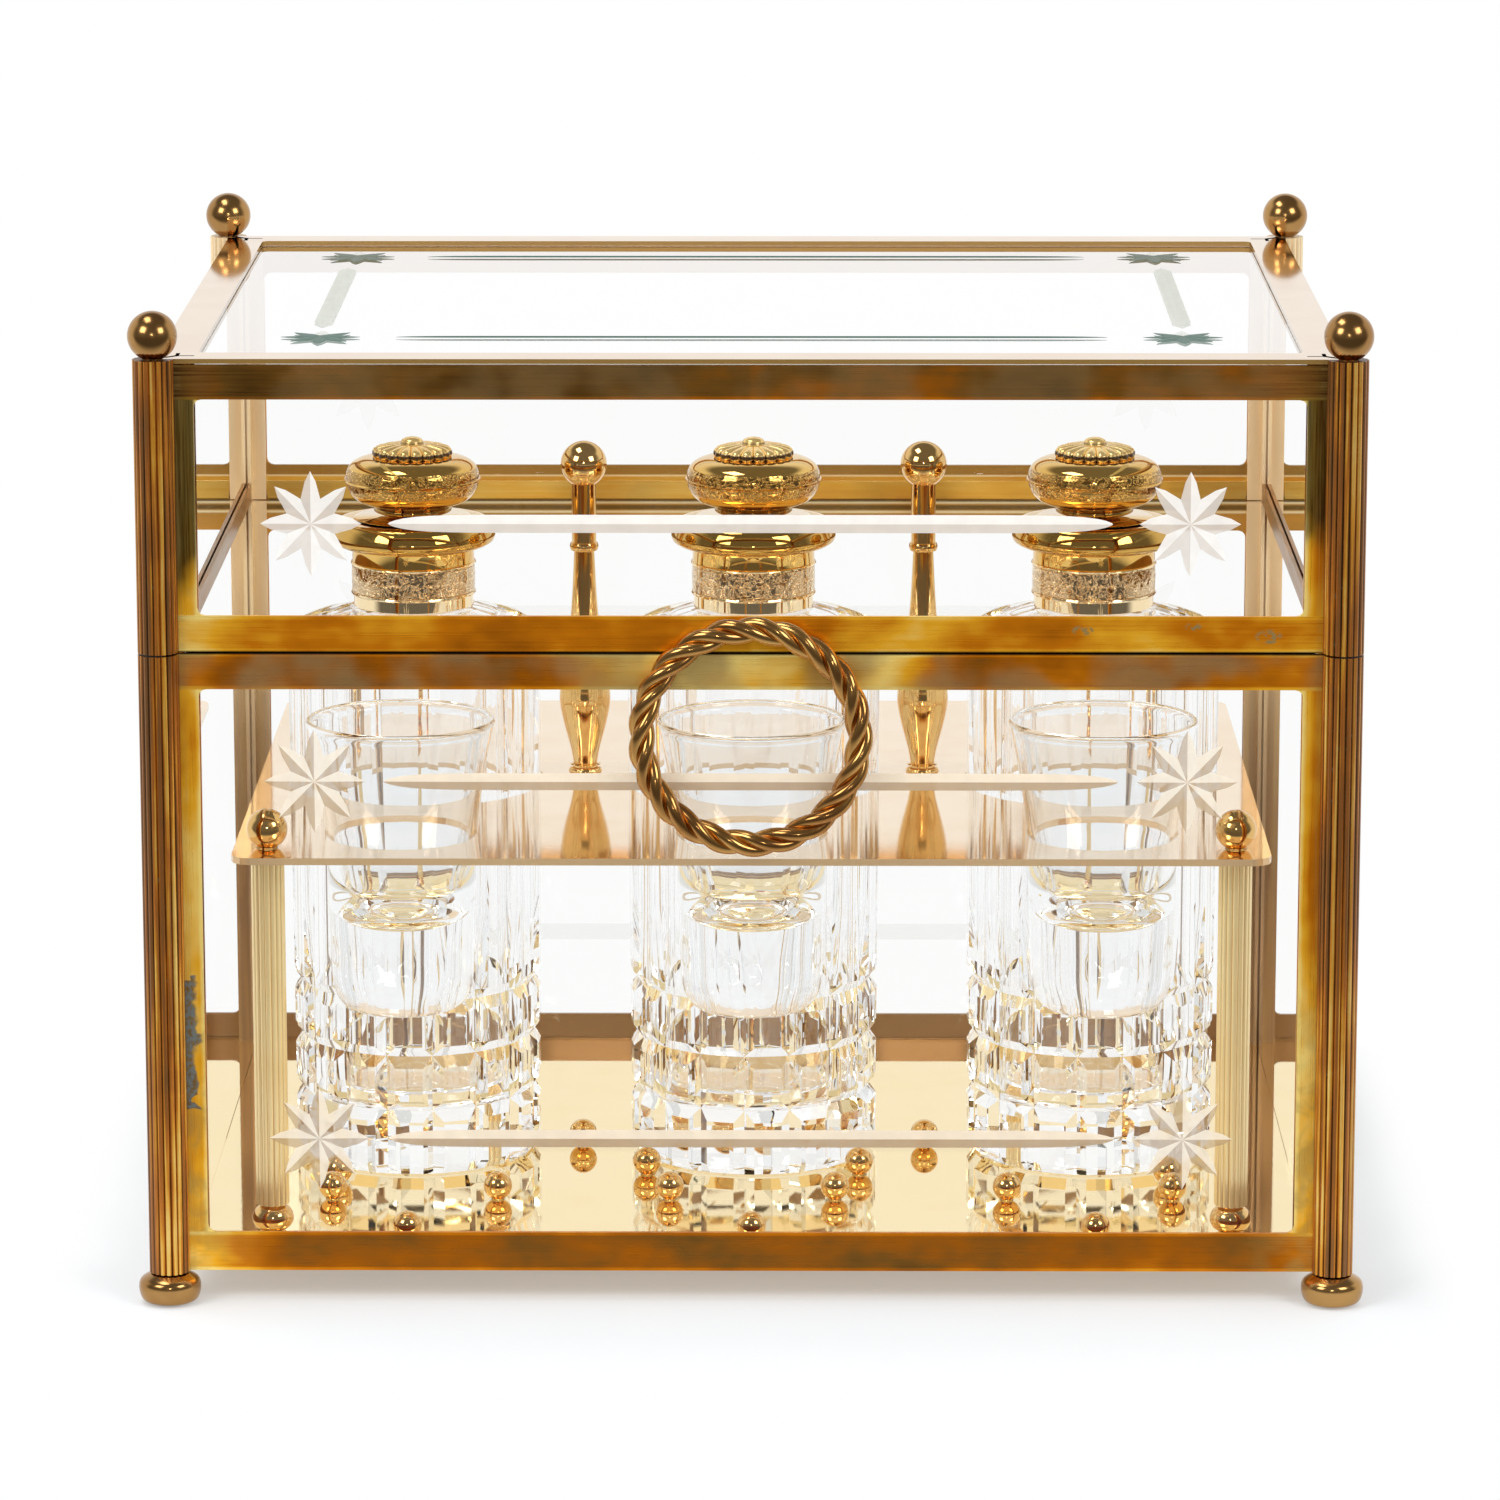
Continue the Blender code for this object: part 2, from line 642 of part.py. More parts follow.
def rack_plate(name, parent):
    """Shelf plate with holes for the glassware and the columns."""
    shape = bmesh.new()
    add_prism(shape, round_rectangle(RACK_X / 2, RACK_Y / 2, RACK_CORNER_R, WINDOW_CORNER_STEPS), 0.0, RACK_T)
    obj = add_object(name, shape, bright_brass(name), parent, (0.0, 0.0, RACK_Z))
    holes = bmesh.new()
    circles = []
    for _, side in GLASSWARE_PLACES:
        x = side * GLASSWARE_PITCH
        circles.append((GLASS_SEAT_R + GAP, (x, GLASS_Y), GLASS_HOLE_SEGMENTS))
        circles.append((DECANTER_R + DECANTER_HOLE_CLEARANCE, (x, DECANTER_Y), DECANTER_HOLE_SEGMENTS))
    for _, side_x, side_y in CORNERS:
        circles.append((COLUMN_TENON_R + GAP, (side_x * COLUMN_X, side_y * COLUMN_Y), TENON_HOLE_SEGMENTS))
    for radius, centre, segments in circles:
        add_prism(holes, circle_outline(radius, centre, segments), -OVERRUN, RACK_T + OVERRUN)
    combine(obj, holes, "DIFFERENCE")


def column_reed(step, radius, height):
    """Reeded shaft: every other segment line lies between two reeds."""
    if radius != COLUMN_R or step % 2 == 0:
        return radius
    return radius - COLUMN_REED_DEPTH


def rack_column(name, parent, side_x, side_y):
    """Reeded column from the mirror to the plate, with a ball foot below and a ball nut above."""
    shaft_foot = COLUMN_FOOT_H + COLUMN_NECK_H
    plate = RACK_UNDERSIDE_H
    nut_foot = plate + RACK_T + GAP
    profile = [(0.0, 0.0)]
    profile += shared(COLUMN_FOOT_SHARES, COLUMN_FOOT_R, 0.0, COLUMN_FOOT_H)
    profile += [(COLUMN_NECK_R, COLUMN_FOOT_H), (COLUMN_NECK_R, shaft_foot)]
    profile += [(COLUMN_R, shaft_foot), (COLUMN_R, plate - GAP), (COLUMN_TENON_R, plate - GAP)]
    low = -math.degrees(math.acos(COLUMN_TENON_R / COLUMN_NUT_R))
    centre = nut_foot + math.sqrt(COLUMN_NUT_R ** 2 - COLUMN_TENON_R ** 2)
    profile += ball_profile(COLUMN_NUT_R, centre, low, 90.0, COLUMN_NUT_STEPS)[:-1]
    profile += [(0.0, centre + COLUMN_NUT_R)]
    shape = bmesh.new()
    add_turned(shape, profile, 2 * COLUMN_REEDS, ripple=column_reed)
    add_object(name, shape, bright_brass(name), parent, (side_x * COLUMN_X, side_y * COLUMN_Y, STANDING_Z))


def lifting_rod(name, parent, side):
    """Turned rod that the rack is lifted by: foot ring, baluster, stem, ring and ball."""
    profile = [(0.0, 0.0), (ROD_FOOT_R, 0.0), (ROD_FOOT_R, ROD_FOOT_H)]
    profile += shared(ROD_BELLY_SHARES, ROD_BELLY_R, ROD_FOOT_H, ROD_BELLY_H - ROD_FOOT_H)
    taper_top = ROD_BELLY_H + ROD_TAPER_H
    profile += [(ROD_R, taper_top), (ROD_WAIST_R, ROD_RING_FOOT_H), (ROD_RING_R, ROD_RING_FOOT_H)]
    ring_top = ROD_RING_FOOT_H + ROD_RING_H
    profile += [(ROD_RING_R, ring_top), (ROD_STEM_R, ring_top)]
    low = -math.degrees(math.acos(ROD_STEM_R / ROD_BALL_R))
    profile += ball_profile(ROD_BALL_R, ROD_BALL_CENTRE_H, low, 90.0, ROD_BALL_STEPS)[:-1]
    profile += [(0.0, ROD_BALL_CENTRE_H + ROD_BALL_R)]
    shape = bmesh.new()
    add_turned(shape, profile, ROD_SEGMENTS)
    add_object(name, shape, bright_brass(name), parent, (side * ROD_X, ROD_Y, ON_RACK_Z))


def decanter_wall_r(height):
    """Radius of the decanter's side, which narrows a little towards its foot."""
    return DECANTER_R - DECANTER_DRAW * (1.0 - height / DECANTER_WALL_H)


def decanter(name, parent, side):
    """Cut-glass decanter: flat columns crossed by grooves, a thick base and a straight neck."""
    foot_r = decanter_wall_r(0.0)
    outside = [(0.0, 0.0), (foot_r - DECANTER_BEVEL, 0.0), (foot_r, DECANTER_BEVEL_H)]
    for row in range(DECANTER_CUT_ROWS):
        middle = DECANTER_CUT_FOOT_H + row * DECANTER_CUT_PITCH
        wall = decanter_wall_r(middle)
        outside.append((wall, middle - DECANTER_CUT_HALF_W))
        outside.append((wall - DECANTER_CUT_DEPTH, middle))
        outside.append((wall, middle + DECANTER_CUT_HALF_W))
    drop = DECANTER_R - DECANTER_SHOULDER_R
    for across, up in SHOULDER_SHARES:
        outside.append((DECANTER_SHOULDER_R + drop * across, DECANTER_WALL_H + DECANTER_SHOULDER_H * up))
    neck_foot = DECANTER_WALL_H + DECANTER_SHOULDER_H + DECANTER_SHOULDER_RISE
    neck_top = neck_foot + DECANTER_NECK_H
    outside += [(DECANTER_NECK_R, neck_foot), (DECANTER_NECK_R, neck_top)]
    inside = [(DECANTER_BORE_R, neck_top), (DECANTER_BORE_R, DECANTER_WALL_H + DECANTER_SHOULDER_H)]
    inside += [(DECANTER_CAVITY_R, DECANTER_WALL_H)]
    foot_h = DECANTER_BASE_T
    inside += list(reversed(shared(CAVITY_FOOT_SHARES, DECANTER_CAVITY_R, DECANTER_BASE_T, foot_h)))
    shape = bmesh.new()
    add_turned(shape, outside + inside, DECANTER_COLUMNS)
    add_object(name, shape, clear_glass(name), parent, (side * GLASSWARE_PITCH, DECANTER_Y, STANDING_Z))


def collar_z():
    """Level of the collar's lower edge, on the decanter's shoulder."""
    return STANDING_Z + DECANTER_WALL_H + DECANTER_SHOULDER_H + DECANTER_SHOULDER_RISE + GAP


def collar(name, parent, side):
    """Gilt collar clamped on the neck: band, coved flange and a bore for the stopper."""
    flange_top = COLLAR_H + FLANGE_H
    neck_room = DECANTER_NECK_H
    band_top = COLLAR_BAND_FOOT_H + COLLAR_BAND_H
    bore = SHANK_R + GAP
    profile = [(DECANTER_NECK_R + GAP, 0.0), (COLLAR_R, 0.0), (COLLAR_R, COLLAR_BAND_FOOT_H)]
    profile += [(COLLAR_BAND_R, COLLAR_BAND_FOOT_H), (COLLAR_BAND_R, band_top)]
    profile += [(COLLAR_R, band_top), (COLLAR_R, COLLAR_H)]
    profile += shared(FLANGE_SHARES, FLANGE_R, COLLAR_H, FLANGE_H)
    profile += [(bore, flange_top - FLANGE_DISH)]
    profile += [(bore, neck_room + GAP), (DECANTER_NECK_R + GAP, neck_room + GAP)]
    shape = bmesh.new()
    add_turned(shape, profile, COLLAR_SEGMENTS, closed=True)
    add_object(name, shape, gilt(name), parent, (side * GLASSWARE_PITCH, DECANTER_Y, collar_z()))


def petal(step, radius, height):
    """Rosette: every other segment line lies between two petals."""
    if radius < ROSETTE_R / 2 or step % 2 == 0:
        return radius
    return radius - ROSETTE_CUT_DEPTH


def stopper(name, parent, side):
    """Gilt stopper: tapered shank, cushion-shaped head and a petalled rosette."""
    head = SHANK_BELOW_FLANGE + STOPPER_NECK_H
    rosette = head + STOPPER_H
    profile = [(0.0, 0.0), (SHANK_R - SHANK_TAPER, 0.0), (SHANK_R, SHANK_BELOW_FLANGE), (SHANK_R, head)]
    profile += shared(STOPPER_SHARES, STOPPER_R, head, STOPPER_H)
    profile += [(ROSETTE_R / 2, rosette), (0.0, rosette)]
    shape = bmesh.new()
    add_turned(shape, profile, STOPPER_SEGMENTS)
    low = collar_z() + COLLAR_H + FLANGE_H - SHANK_BELOW_FLANGE
    obj = add_object(name, shape, gilt(name), parent, (side * GLASSWARE_PITCH, DECANTER_Y, low))
    sunk = rosette - ROSETTE_SUNK
    profile = [(0.0, sunk)] + shared(ROSETTE_SHARES, ROSETTE_R, rosette - ROSETTE_SUNK, ROSETTE_H)
    profile += [(0.0, sunk + ROSETTE_H)]
    flower = bmesh.new()
    add_turned(flower, profile, 2 * ROSETTE_PETALS, ripple=petal)
    combine(obj, flower, "UNION")


def shot_glass(name, parent, side):
    """Tapered glass with a thick base; it hangs in the rack by its widening side."""
    seat = GLASS_BELOW_SEAT
    rim = seat + GLASS_RIM_H
    inside_foot = GLASS_BASE_T
    profile = [(0.0, 0.0)] + shared(GLASS_FOOT_SHARES, GLASS_FOOT_R, 0.0, GLASS_FOOT_H)
    profile += [(GLASS_SEAT_R, seat), (GLASS_RIM_R, rim), (GLASS_RIM_R - GLASS_WALL, rim)]
    profile += [(GLASS_SEAT_R - GLASS_WALL, seat)]
    narrow = GLASS_FOOT_R - GLASS_WALL
    profile += [(narrow, inside_foot + GLASS_FILLET), (narrow - GLASS_FILLET, inside_foot), (0.0, inside_foot)]
    shape = bmesh.new()
    add_turned(shape, profile, GLASS_SEGMENTS)
    low = RACK_TOP_Z - GLASS_BELOW_SEAT
    add_object(name, shape, clear_glass(name), parent, (side * GLASSWARE_PITCH, GLASS_Y, low))


def rope_radius(angle):
    """Outline of a three-strand rope at an angle from the middle of a strand."""
    offset = STRAND_R / math.sin(math.pi / STRANDS)
    across = offset * math.sin(angle)
    return offset * math.cos(angle) + math.sqrt(max(STRAND_R ** 2 - across ** 2, 0.0))


def ring_handle(name, parent):
    """Ring of twisted brass rope, standing against the front rails under the lid's lower edge."""
    rope_r = rope_radius(0.0)
    ring_r = RING_OUTER_R - rope_r
    points = STRANDS * STRAND_POINTS
    shape = bmesh.new()
    rings = []
    for step in range(RING_STEPS):
        around = math.tau * step / RING_STEPS
        twist = RING_TWISTS * around
        outward = Vector((math.cos(around), 0.0, math.sin(around)))
        ring = []
        for point in range(points):
            turn = math.tau * point / points
            strand = math.tau / STRANDS
            off_middle = (turn + strand / 2) % strand - strand / 2
            radius = rope_radius(off_middle)
            side = radius * math.sin(turn + twist)
            out = ring_r + radius * math.cos(turn + twist)
            ring.append(shape.verts.new(out * outward + Vector((0.0, side, 0.0))))
        rings.append(ring)
    for step in range(RING_STEPS):
        here = rings[step]
        ahead = rings[(step + 1) % RING_STEPS]
        for point in range(points):
            after = (point + 1) % points
            shape.faces.new((here[point], here[after], ahead[after], ahead[point]))
    y = -POST_Y + FRAME_OUTSIDE - GAP - rope_r
    add_object(name, shape, aged_brass(name), parent, (0.0, y, LID_Z + RING_RISE - RING_OUTER_R))


def add_knuckle(shape, radius, low, high):
    """Cylinder along X about the hinge axis."""
    outline = circle_outline(radius, (0.0, 0.0), HINGE_SEGMENTS)
    made = bmesh.new()
    add_prism(made, outline, low, high)
    along = Matrix.Rotation(math.radians(90.0), 4, "Y")
    bmesh.ops.transform(made, matrix=along, verts=made.verts)
    mesh = bpy.data.meshes.new("knuckle")
    made.to_mesh(mesh)
    made.free()
    shape.from_mesh(mesh)
    bpy.data.meshes.remove(mesh)


def hinge_leaf(name, parent, side, up):
    """One leaf: a flap on the back rail, a web out to the axis, and its knuckles.

    The body's leaf points down and carries the pin; the lid's leaf points up and turns on it.
    """
    flap_in = POST_Y - FRAME_OUTSIDE + GAP - HINGE_Y
    flap_out = flap_in + HINGE_LEAF_T
    near = SEAM_GAP / 2
    web = near + HINGE_LEAF_T
    half = HINGE_W / 2
    middle = KNUCKLE_MIDDLE_W / 2
    spans = [(-middle, middle)] if up > 0 else [(-half, -middle - GAP), (middle + GAP, half)]
    shape = bmesh.new()
    low, high = sorted((up * near, up * HINGE_LEAF_H))
    add_box(shape, (-half, flap_in, low), (half, flap_out, high))
    obj = add_object(name, shape, aged_brass(name), parent, (side * HINGE_X, HINGE_Y, HINGE_Z))
    low, high = sorted((up * near, up * web))
    webs = bmesh.new()
    for start, end in spans:
        add_box(webs, (start, flap_in + HINGE_LEAF_T / 2, low), (end, 0.0, high))
    combine(obj, webs, "UNION")
    knuckles = bmesh.new()
    for start, end in spans:
        add_knuckle(knuckles, KNUCKLE_R, start, end)
    combine(obj, knuckles, "UNION")
    pin = bmesh.new()
    if up > 0:
        add_knuckle(pin, PIN_R + PIN_CLEARANCE, -half, half)
        combine(obj, pin, "DIFFERENCE")
    else:
        add_knuckle(pin, PIN_R, GAP - half, half - GAP)
        combine(obj, pin, "UNION")


def build_body():
    """Feet, posts, frames, panes and the base."""
    root = add_empty("case_origin", (0.0, 0.0, 0.0))
    for corner, corner_x, corner_y in CORNERS:
        foot("foot_" + corner, root, corner_x, corner_y)
        name = "body_post_" + corner
        post(name, root, corner_x, corner_y, BODY_Z, BODY_TOP_Z, BODY_Z - OVERRUN, STANDING_Z)
    for wall, turn_deg, span, distance in WALLS:
        body_frame("body_frame_" + wall, root, turn_deg, span, distance)
        wall_pane("body_pane_" + wall, root, turn_deg, span, distance, STANDING_Z, BODY_TOP_Z - GAP)
    base_plate("base_plate", root)
    base_mirror("base_mirror", root)
    for hand, side in (("left", -1), ("right", 1)):
        hinge_leaf("hinge_body_leaf_" + hand, root, side, -1)
    return root


def build_lid(root):
    """Everything that swings up about the hinge axis."""
    axis = add_empty("lid_axis", (0.0, HINGE_Y, HINGE_Z))
    for corner, corner_x, corner_y in CORNERS:
        name = "lid_post_" + corner
        post(name, axis, corner_x, corner_y, LID_Z, LID_TOP_Z, LID_CHANNEL_TOP_Z, LID_TOP_Z + OVERRUN)
        finial("finial_" + corner, axis, corner_x, corner_y)
    for wall, turn_deg, span, distance in WALLS:
        lid_frame("lid_frame_" + wall, axis, turn_deg, span, distance)
        low = LID_Z + LID_WEB_T + GAP
        wall_pane("lid_pane_" + wall, axis, turn_deg, span, distance, low, LID_WALL_TOP_Z)
    top_frame("lid_frame_top", axis)
    top_pane("lid_pane_top", axis)
    ring_handle("ring_handle", axis)
    for hand, side in (("left", -1), ("right", 1)):
        hinge_leaf("hinge_lid_leaf_" + hand, axis, side, 1)


def build_rack():
    """Plate, columns and lifting rods."""
    lift = add_empty("rack_lift", (0.0, 0.0, STANDING_Z))
    rack_plate("rack_plate", lift)
    for corner, side_x, side_y in CORNERS:
        rack_column("rack_column_" + corner, lift, side_x, side_y)
    for hand, side in (("left", -1), ("right", 1)):
        lifting_rod("lifting_rod_" + hand, lift, side)


def build_glassware():
    """Decanters with collars, stoppers and shot glasses, each lifted out on its own."""
    for place, side in GLASSWARE_PLACES:
        x = side * GLASSWARE_PITCH
        stand = add_empty("decanter_lift_" + place, (x, DECANTER_Y, STANDING_Z))
        decanter("decanter_" + place, stand, side)
        collar("collar_" + place, stand, side)
        pull = add_empty("stopper_lift_" + place, (x, DECANTER_Y, collar_z()))
        stopper("stopper_" + place, pull, side)
        hang = add_empty("glass_lift_" + place, (x, GLASS_Y, RACK_TOP_Z))
        shot_glass("shot_glass_" + place, hang, side)


def main():
    """Build the whole case."""
    clear_scene()
    root = build_body()
    build_lid(root)
    build_rack()
    build_glassware()


main()
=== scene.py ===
# %% [markdown]
# # A liqueur case of brass and glass
# The imported model gives the exact size and place of every part. This lesson dresses it:
# turned brass, cut crystal, engraved panes and a pale studio. The frame is loaded first.

import math

import bmesh
import bpy
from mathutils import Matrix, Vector


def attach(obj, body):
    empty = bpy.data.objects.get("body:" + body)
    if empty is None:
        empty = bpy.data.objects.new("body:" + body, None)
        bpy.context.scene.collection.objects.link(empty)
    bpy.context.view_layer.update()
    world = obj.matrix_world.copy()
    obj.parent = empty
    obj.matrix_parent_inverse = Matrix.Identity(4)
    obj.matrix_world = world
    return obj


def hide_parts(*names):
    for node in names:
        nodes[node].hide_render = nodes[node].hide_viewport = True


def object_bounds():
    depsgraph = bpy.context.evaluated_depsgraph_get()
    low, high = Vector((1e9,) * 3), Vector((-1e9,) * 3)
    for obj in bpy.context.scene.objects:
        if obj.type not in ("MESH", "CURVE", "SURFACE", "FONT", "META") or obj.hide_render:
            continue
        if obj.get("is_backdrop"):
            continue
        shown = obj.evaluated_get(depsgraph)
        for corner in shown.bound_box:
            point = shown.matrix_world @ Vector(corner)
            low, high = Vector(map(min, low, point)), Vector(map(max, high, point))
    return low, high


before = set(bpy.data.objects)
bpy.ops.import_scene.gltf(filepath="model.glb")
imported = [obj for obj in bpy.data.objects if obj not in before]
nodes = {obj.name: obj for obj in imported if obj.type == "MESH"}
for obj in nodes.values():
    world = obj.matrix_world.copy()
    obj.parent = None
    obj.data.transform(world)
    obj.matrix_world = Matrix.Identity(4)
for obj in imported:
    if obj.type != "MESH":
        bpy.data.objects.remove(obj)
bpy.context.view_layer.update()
MM = 0.001
CORNERS = (("front_left", -1, -1), ("front_right", 1, -1), ("back_right", 1, 1), ("back_left", -1, 1))
PLACES = (("left", -1), ("middle", 0), ("right", 1))
HANDS = (("left", -1), ("right", 1))
WALLS = ("front", "right", "back", "left")
WHITE = (1.0, 1.0, 1.0)


def add_object(name, data):
    """New object in the scene."""
    obj = bpy.data.objects.new(name, data)
    bpy.context.scene.collection.objects.link(obj)
    return obj


# %% [markdown]
# ## The camera
# A long lens flattens the case: its sides nearly close up. The camera stands almost two
# metres in front, a little above the lid, and looks down by twelve degrees. A lens is set
# by its length and the sensor's width, and the tilt is the turn about X.

# %% Camera
LENS_MM = 161.92
SENSOR_MM = 36.0
CAMERA_PLACE = (0.0130, -1.7898, 0.5038)
LOOK_DOWN, ROLL, LOOK_LEFT = 12.07, 0.03, 0.442


def add_camera():
    """The photograph's point of view."""
    lens = bpy.data.cameras.new("camera")
    lens.lens = LENS_MM
    lens.sensor_width = SENSOR_MM
    obj = add_object("camera", lens)
    obj.location = CAMERA_PLACE
    obj.rotation_euler = [math.radians(turn) for turn in (90.0 - LOOK_DOWN, ROLL, LOOK_LEFT)]
    bpy.context.scene.camera = obj
    return obj


camera = add_camera()
print("camera at", tuple(round(v, 3) for v in camera.location))

# %% [markdown]
# ## Sums with sockets
# A material's pattern is arithmetic: masks are multiplied, added and turned round.
# Written as node after node, that is hard to read. A small class wraps a node's output,
# so that `1 - mask * 0.5` adds the Math nodes by itself. One method makes every other node.

# %% The socket class and the material maker


class Wire:
    """A node's output that can stand in a sum."""

    def __init__(self, paint, socket):
        self.paint = paint
        self.socket = socket

    def reckon(self, operation, first, second=0.0):
        """Add one Math node."""
        return self.paint.node("Math", {"operation": operation}, {0: first, 1: second})

    def __add__(self, other):
        return self.reckon("ADD", self, other)

    def __radd__(self, other):
        return self.reckon("ADD", other, self)

    def __sub__(self, other):
        return self.reckon("SUBTRACT", self, other)

    def __rsub__(self, other):
        return self.reckon("SUBTRACT", other, self)

    def __mul__(self, other):
        return self.reckon("MULTIPLY", self, other)

    def __rmul__(self, other):
        return self.reckon("MULTIPLY", other, self)

    def __truediv__(self, other):
        return self.reckon("DIVIDE", self, other)

    def __rtruediv__(self, other):
        return self.reckon("DIVIDE", other, self)

    def __pow__(self, other):
        return self.reckon("POWER", self, other)

    def __neg__(self):
        return self * -1.0

    def __abs__(self):
        return self.reckon("ABSOLUTE", self)

    def swing(self, amount):
        """The value about its middle, so that it pushes up as often as down."""
        return (self - 0.5) * amount

    def between(self, low, high):
        """Smooth step from 0 at low to 1 at high."""
        settings = {"interpolation_type": "SMOOTHSTEP"}
        return self.paint.node("MapRange", settings, {"Value": self, "From Min": low, "From Max": high})


class Paint:
    """A material, or the world's shader, in the making."""

    def __init__(self, name, owner=None):
        self.owner = owner or bpy.data.materials.new(name)
        self.owner.use_nodes = True
        self.tree = self.owner.node_tree
        self.tree.nodes.clear()

    def node(self, kind, settings, sockets, result=0):
        """Add a node, with its settings first and then its sockets' values or links."""
        made = self.tree.nodes.new("ShaderNode" + kind)
        for name, value in settings.items():
            if name == "stops":
                self.set_stops(made.color_ramp, value)
            else:
                setattr(made, name, value)
        for name, value in sockets.items():
            self.feed(made.inputs[name], value)
        return Wire(self, made.outputs[result])

    def feed(self, socket, value):
        """Link a wire, or set a plain value."""
        if isinstance(value, Wire):
            self.tree.links.new(value.socket, socket)
        elif isinstance(value, tuple) and len(value) == 3 and len(socket.default_value) == 4:
            socket.default_value = (*value, 1.0)
        else:
            socket.default_value = value

    def set_stops(self, ramp, stops):
        """Give a colour ramp its stops."""
        while len(ramp.elements) < len(stops):
            ramp.elements.new(1.0)
        for element, (place, colour) in zip(ramp.elements, stops):
            element.position = place
            element.color = (*colour, 1.0)

    def place(self):
        """The point on the rest model, in millimetres."""
        where = self.node("TexCoord", {}, {}, "Object")
        return self.node("VectorMath", {"operation": "SCALE"}, {0: where, "Scale": 1.0 / MM})

    def parts(self, vector):
        """A vector's three values."""
        outputs = self.node("SeparateXYZ", {}, {0: vector}).socket.node.outputs
        return [Wire(self, outputs[i]) for i in range(3)]

    def ray(self, question):
        """Light Path's answer about the ray that asks."""
        return self.node("LightPath", {}, {}, question)

    def noise(self, vector, scale, detail=3.0, roughness=0.55, distortion=0.0):
        """Cloudy values from 0 to 1, with most of them near the middle."""
        return self.node("TexNoise", {}, {
            "Vector": vector, "Scale": scale, "Detail": detail, "Roughness": roughness, "Distortion": distortion,
        })

    def drawn(self, vector, scales, detail=3.0, roughness=0.55, distortion=0.0):
        """Noise with a scale of its own along each axis; a small one draws it out."""
        stretched = self.node("VectorMath", {"operation": "MULTIPLY"}, {0: vector, 1: scales})
        return self.noise(stretched, 1.0, detail, roughness, distortion)

    def mix(self, factor, first, second):
        """Blend two colours."""
        return self.node("Mix", {"data_type": "RGBA"}, {0: factor, 6: first, 7: second}, 2)

    def blend(self, factor, first, second):
        """Blend two shaders."""
        return self.node("MixShader", {}, {0: factor, 1: first, 2: second})

    def bump(self, height, distance, strength=1.0):
        """A normal that follows a height."""
        return self.node("Bump", {}, {"Height": height, "Distance": distance, "Strength": strength})

    def principled(self, colour, roughness, normal=None, **others):
        """The main shader. In the other sockets' names, an underscore stands for a space."""
        sockets = {"Base Color": colour, "Roughness": roughness}
        if normal:
            sockets["Normal"] = normal
        sockets.update({name.replace("_", " "): value for name, value in others.items()})
        return self.node("BsdfPrincipled", {}, sockets)

    def glow(self, colour):
        """Light of its own, at a strength of 1."""
        return self.node("Emission", {}, {"Color": colour, "Strength": 1.0})

    def gap_shadow_black(self):
        """Painted shadow: the black of a narrow gap, which no face in it may mirror away."""
        return self.node("BsdfDiffuse", {}, {"Color": (0.006, 0.004, 0.003), "Roughness": 1.0})

    def done(self, shader, kind="Material"):
        """Join the shader to the output."""
        output = self.tree.nodes.new("ShaderNodeOutput" + kind)
        self.tree.links.new(shader.socket, output.inputs["Surface"])
        return self.owner


print("sums with sockets are ready")

# %% [markdown]
# ## Old brass
# The outside was polished by hand for many years, and no two rails aged alike: the top
# rail is nearly brown, the rail at the seam is amber, the stiles are still golden. One
# ramp of tones serves them all. Where a point lies picks its tone, long streaks of noise
# along the rail or stile push it up and down, and the ramp turns the tone into a colour.

# %% Brass that has aged in streaks
POST_X = 150.0
POST_Y = 115.0
BRASS_TONES = [
    (0.00, (0.060, 0.026, 0.004)), (0.22, (0.150, 0.066, 0.010)), (0.42, (0.320, 0.090, 0.002)),
    (0.62, (0.560, 0.170, 0.003)), (0.80, (0.820, 0.400, 0.020)), (1.00, (0.950, 0.700, 0.200)),
]
FRONT_RAILS = ((235.4, 246.0), (170.8, 180.2), (161.1, 170.6), (8.0, 18.4))
# Heights of the joint between lid and body, whose faces are painted black as its shadow.
JOINT = (170.20, 171.10)
VERDIGRIS = ((84.0, 176.6, 2.6, 1.3), (112.0, 177.6, 2.2, 1.1), (131.0, 175.0, 3.2, 1.7))


def band(value, limits):
    """1 between two limits, 0 outside."""
    low, high = limits
    return value.between(low - 0.3, low + 0.3) * (1.0 - value.between(high - 0.3, high + 0.3))


def brass_tone(paint, tone):
    """A tone's colour: 0 is brown, 1 is pale gold."""
    return paint.node("ValToRGB", {"stops": BRASS_TONES}, {0: tone})


def along_grain(paint, where, rails, scale, length, detail=4.0):
    """Noise drawn out along the rails, or upwards along the stiles."""
    level = paint.drawn(where, (scale * length, scale, scale), detail, 0.6)
    upright = paint.drawn(where, (scale, scale, scale * length), detail, 0.6)
    return upright + (level - upright) * rails


def from_axes(x, y, across, ahead):
    """How far outside the nearest of four upright axes a point is in X, and how far from it in all."""
    off_x, off_y = abs(x) - across, abs(y) - ahead
    return off_x, (off_x * off_x + off_y * off_y) ** 0.5


def dark_in_joint(paint, z, brass):
    """Brass whose faces in the joint are painted black, as the joint's shadow."""
    return paint.done(paint.blend(band(z, JOINT), brass, paint.gap_shadow_black()))


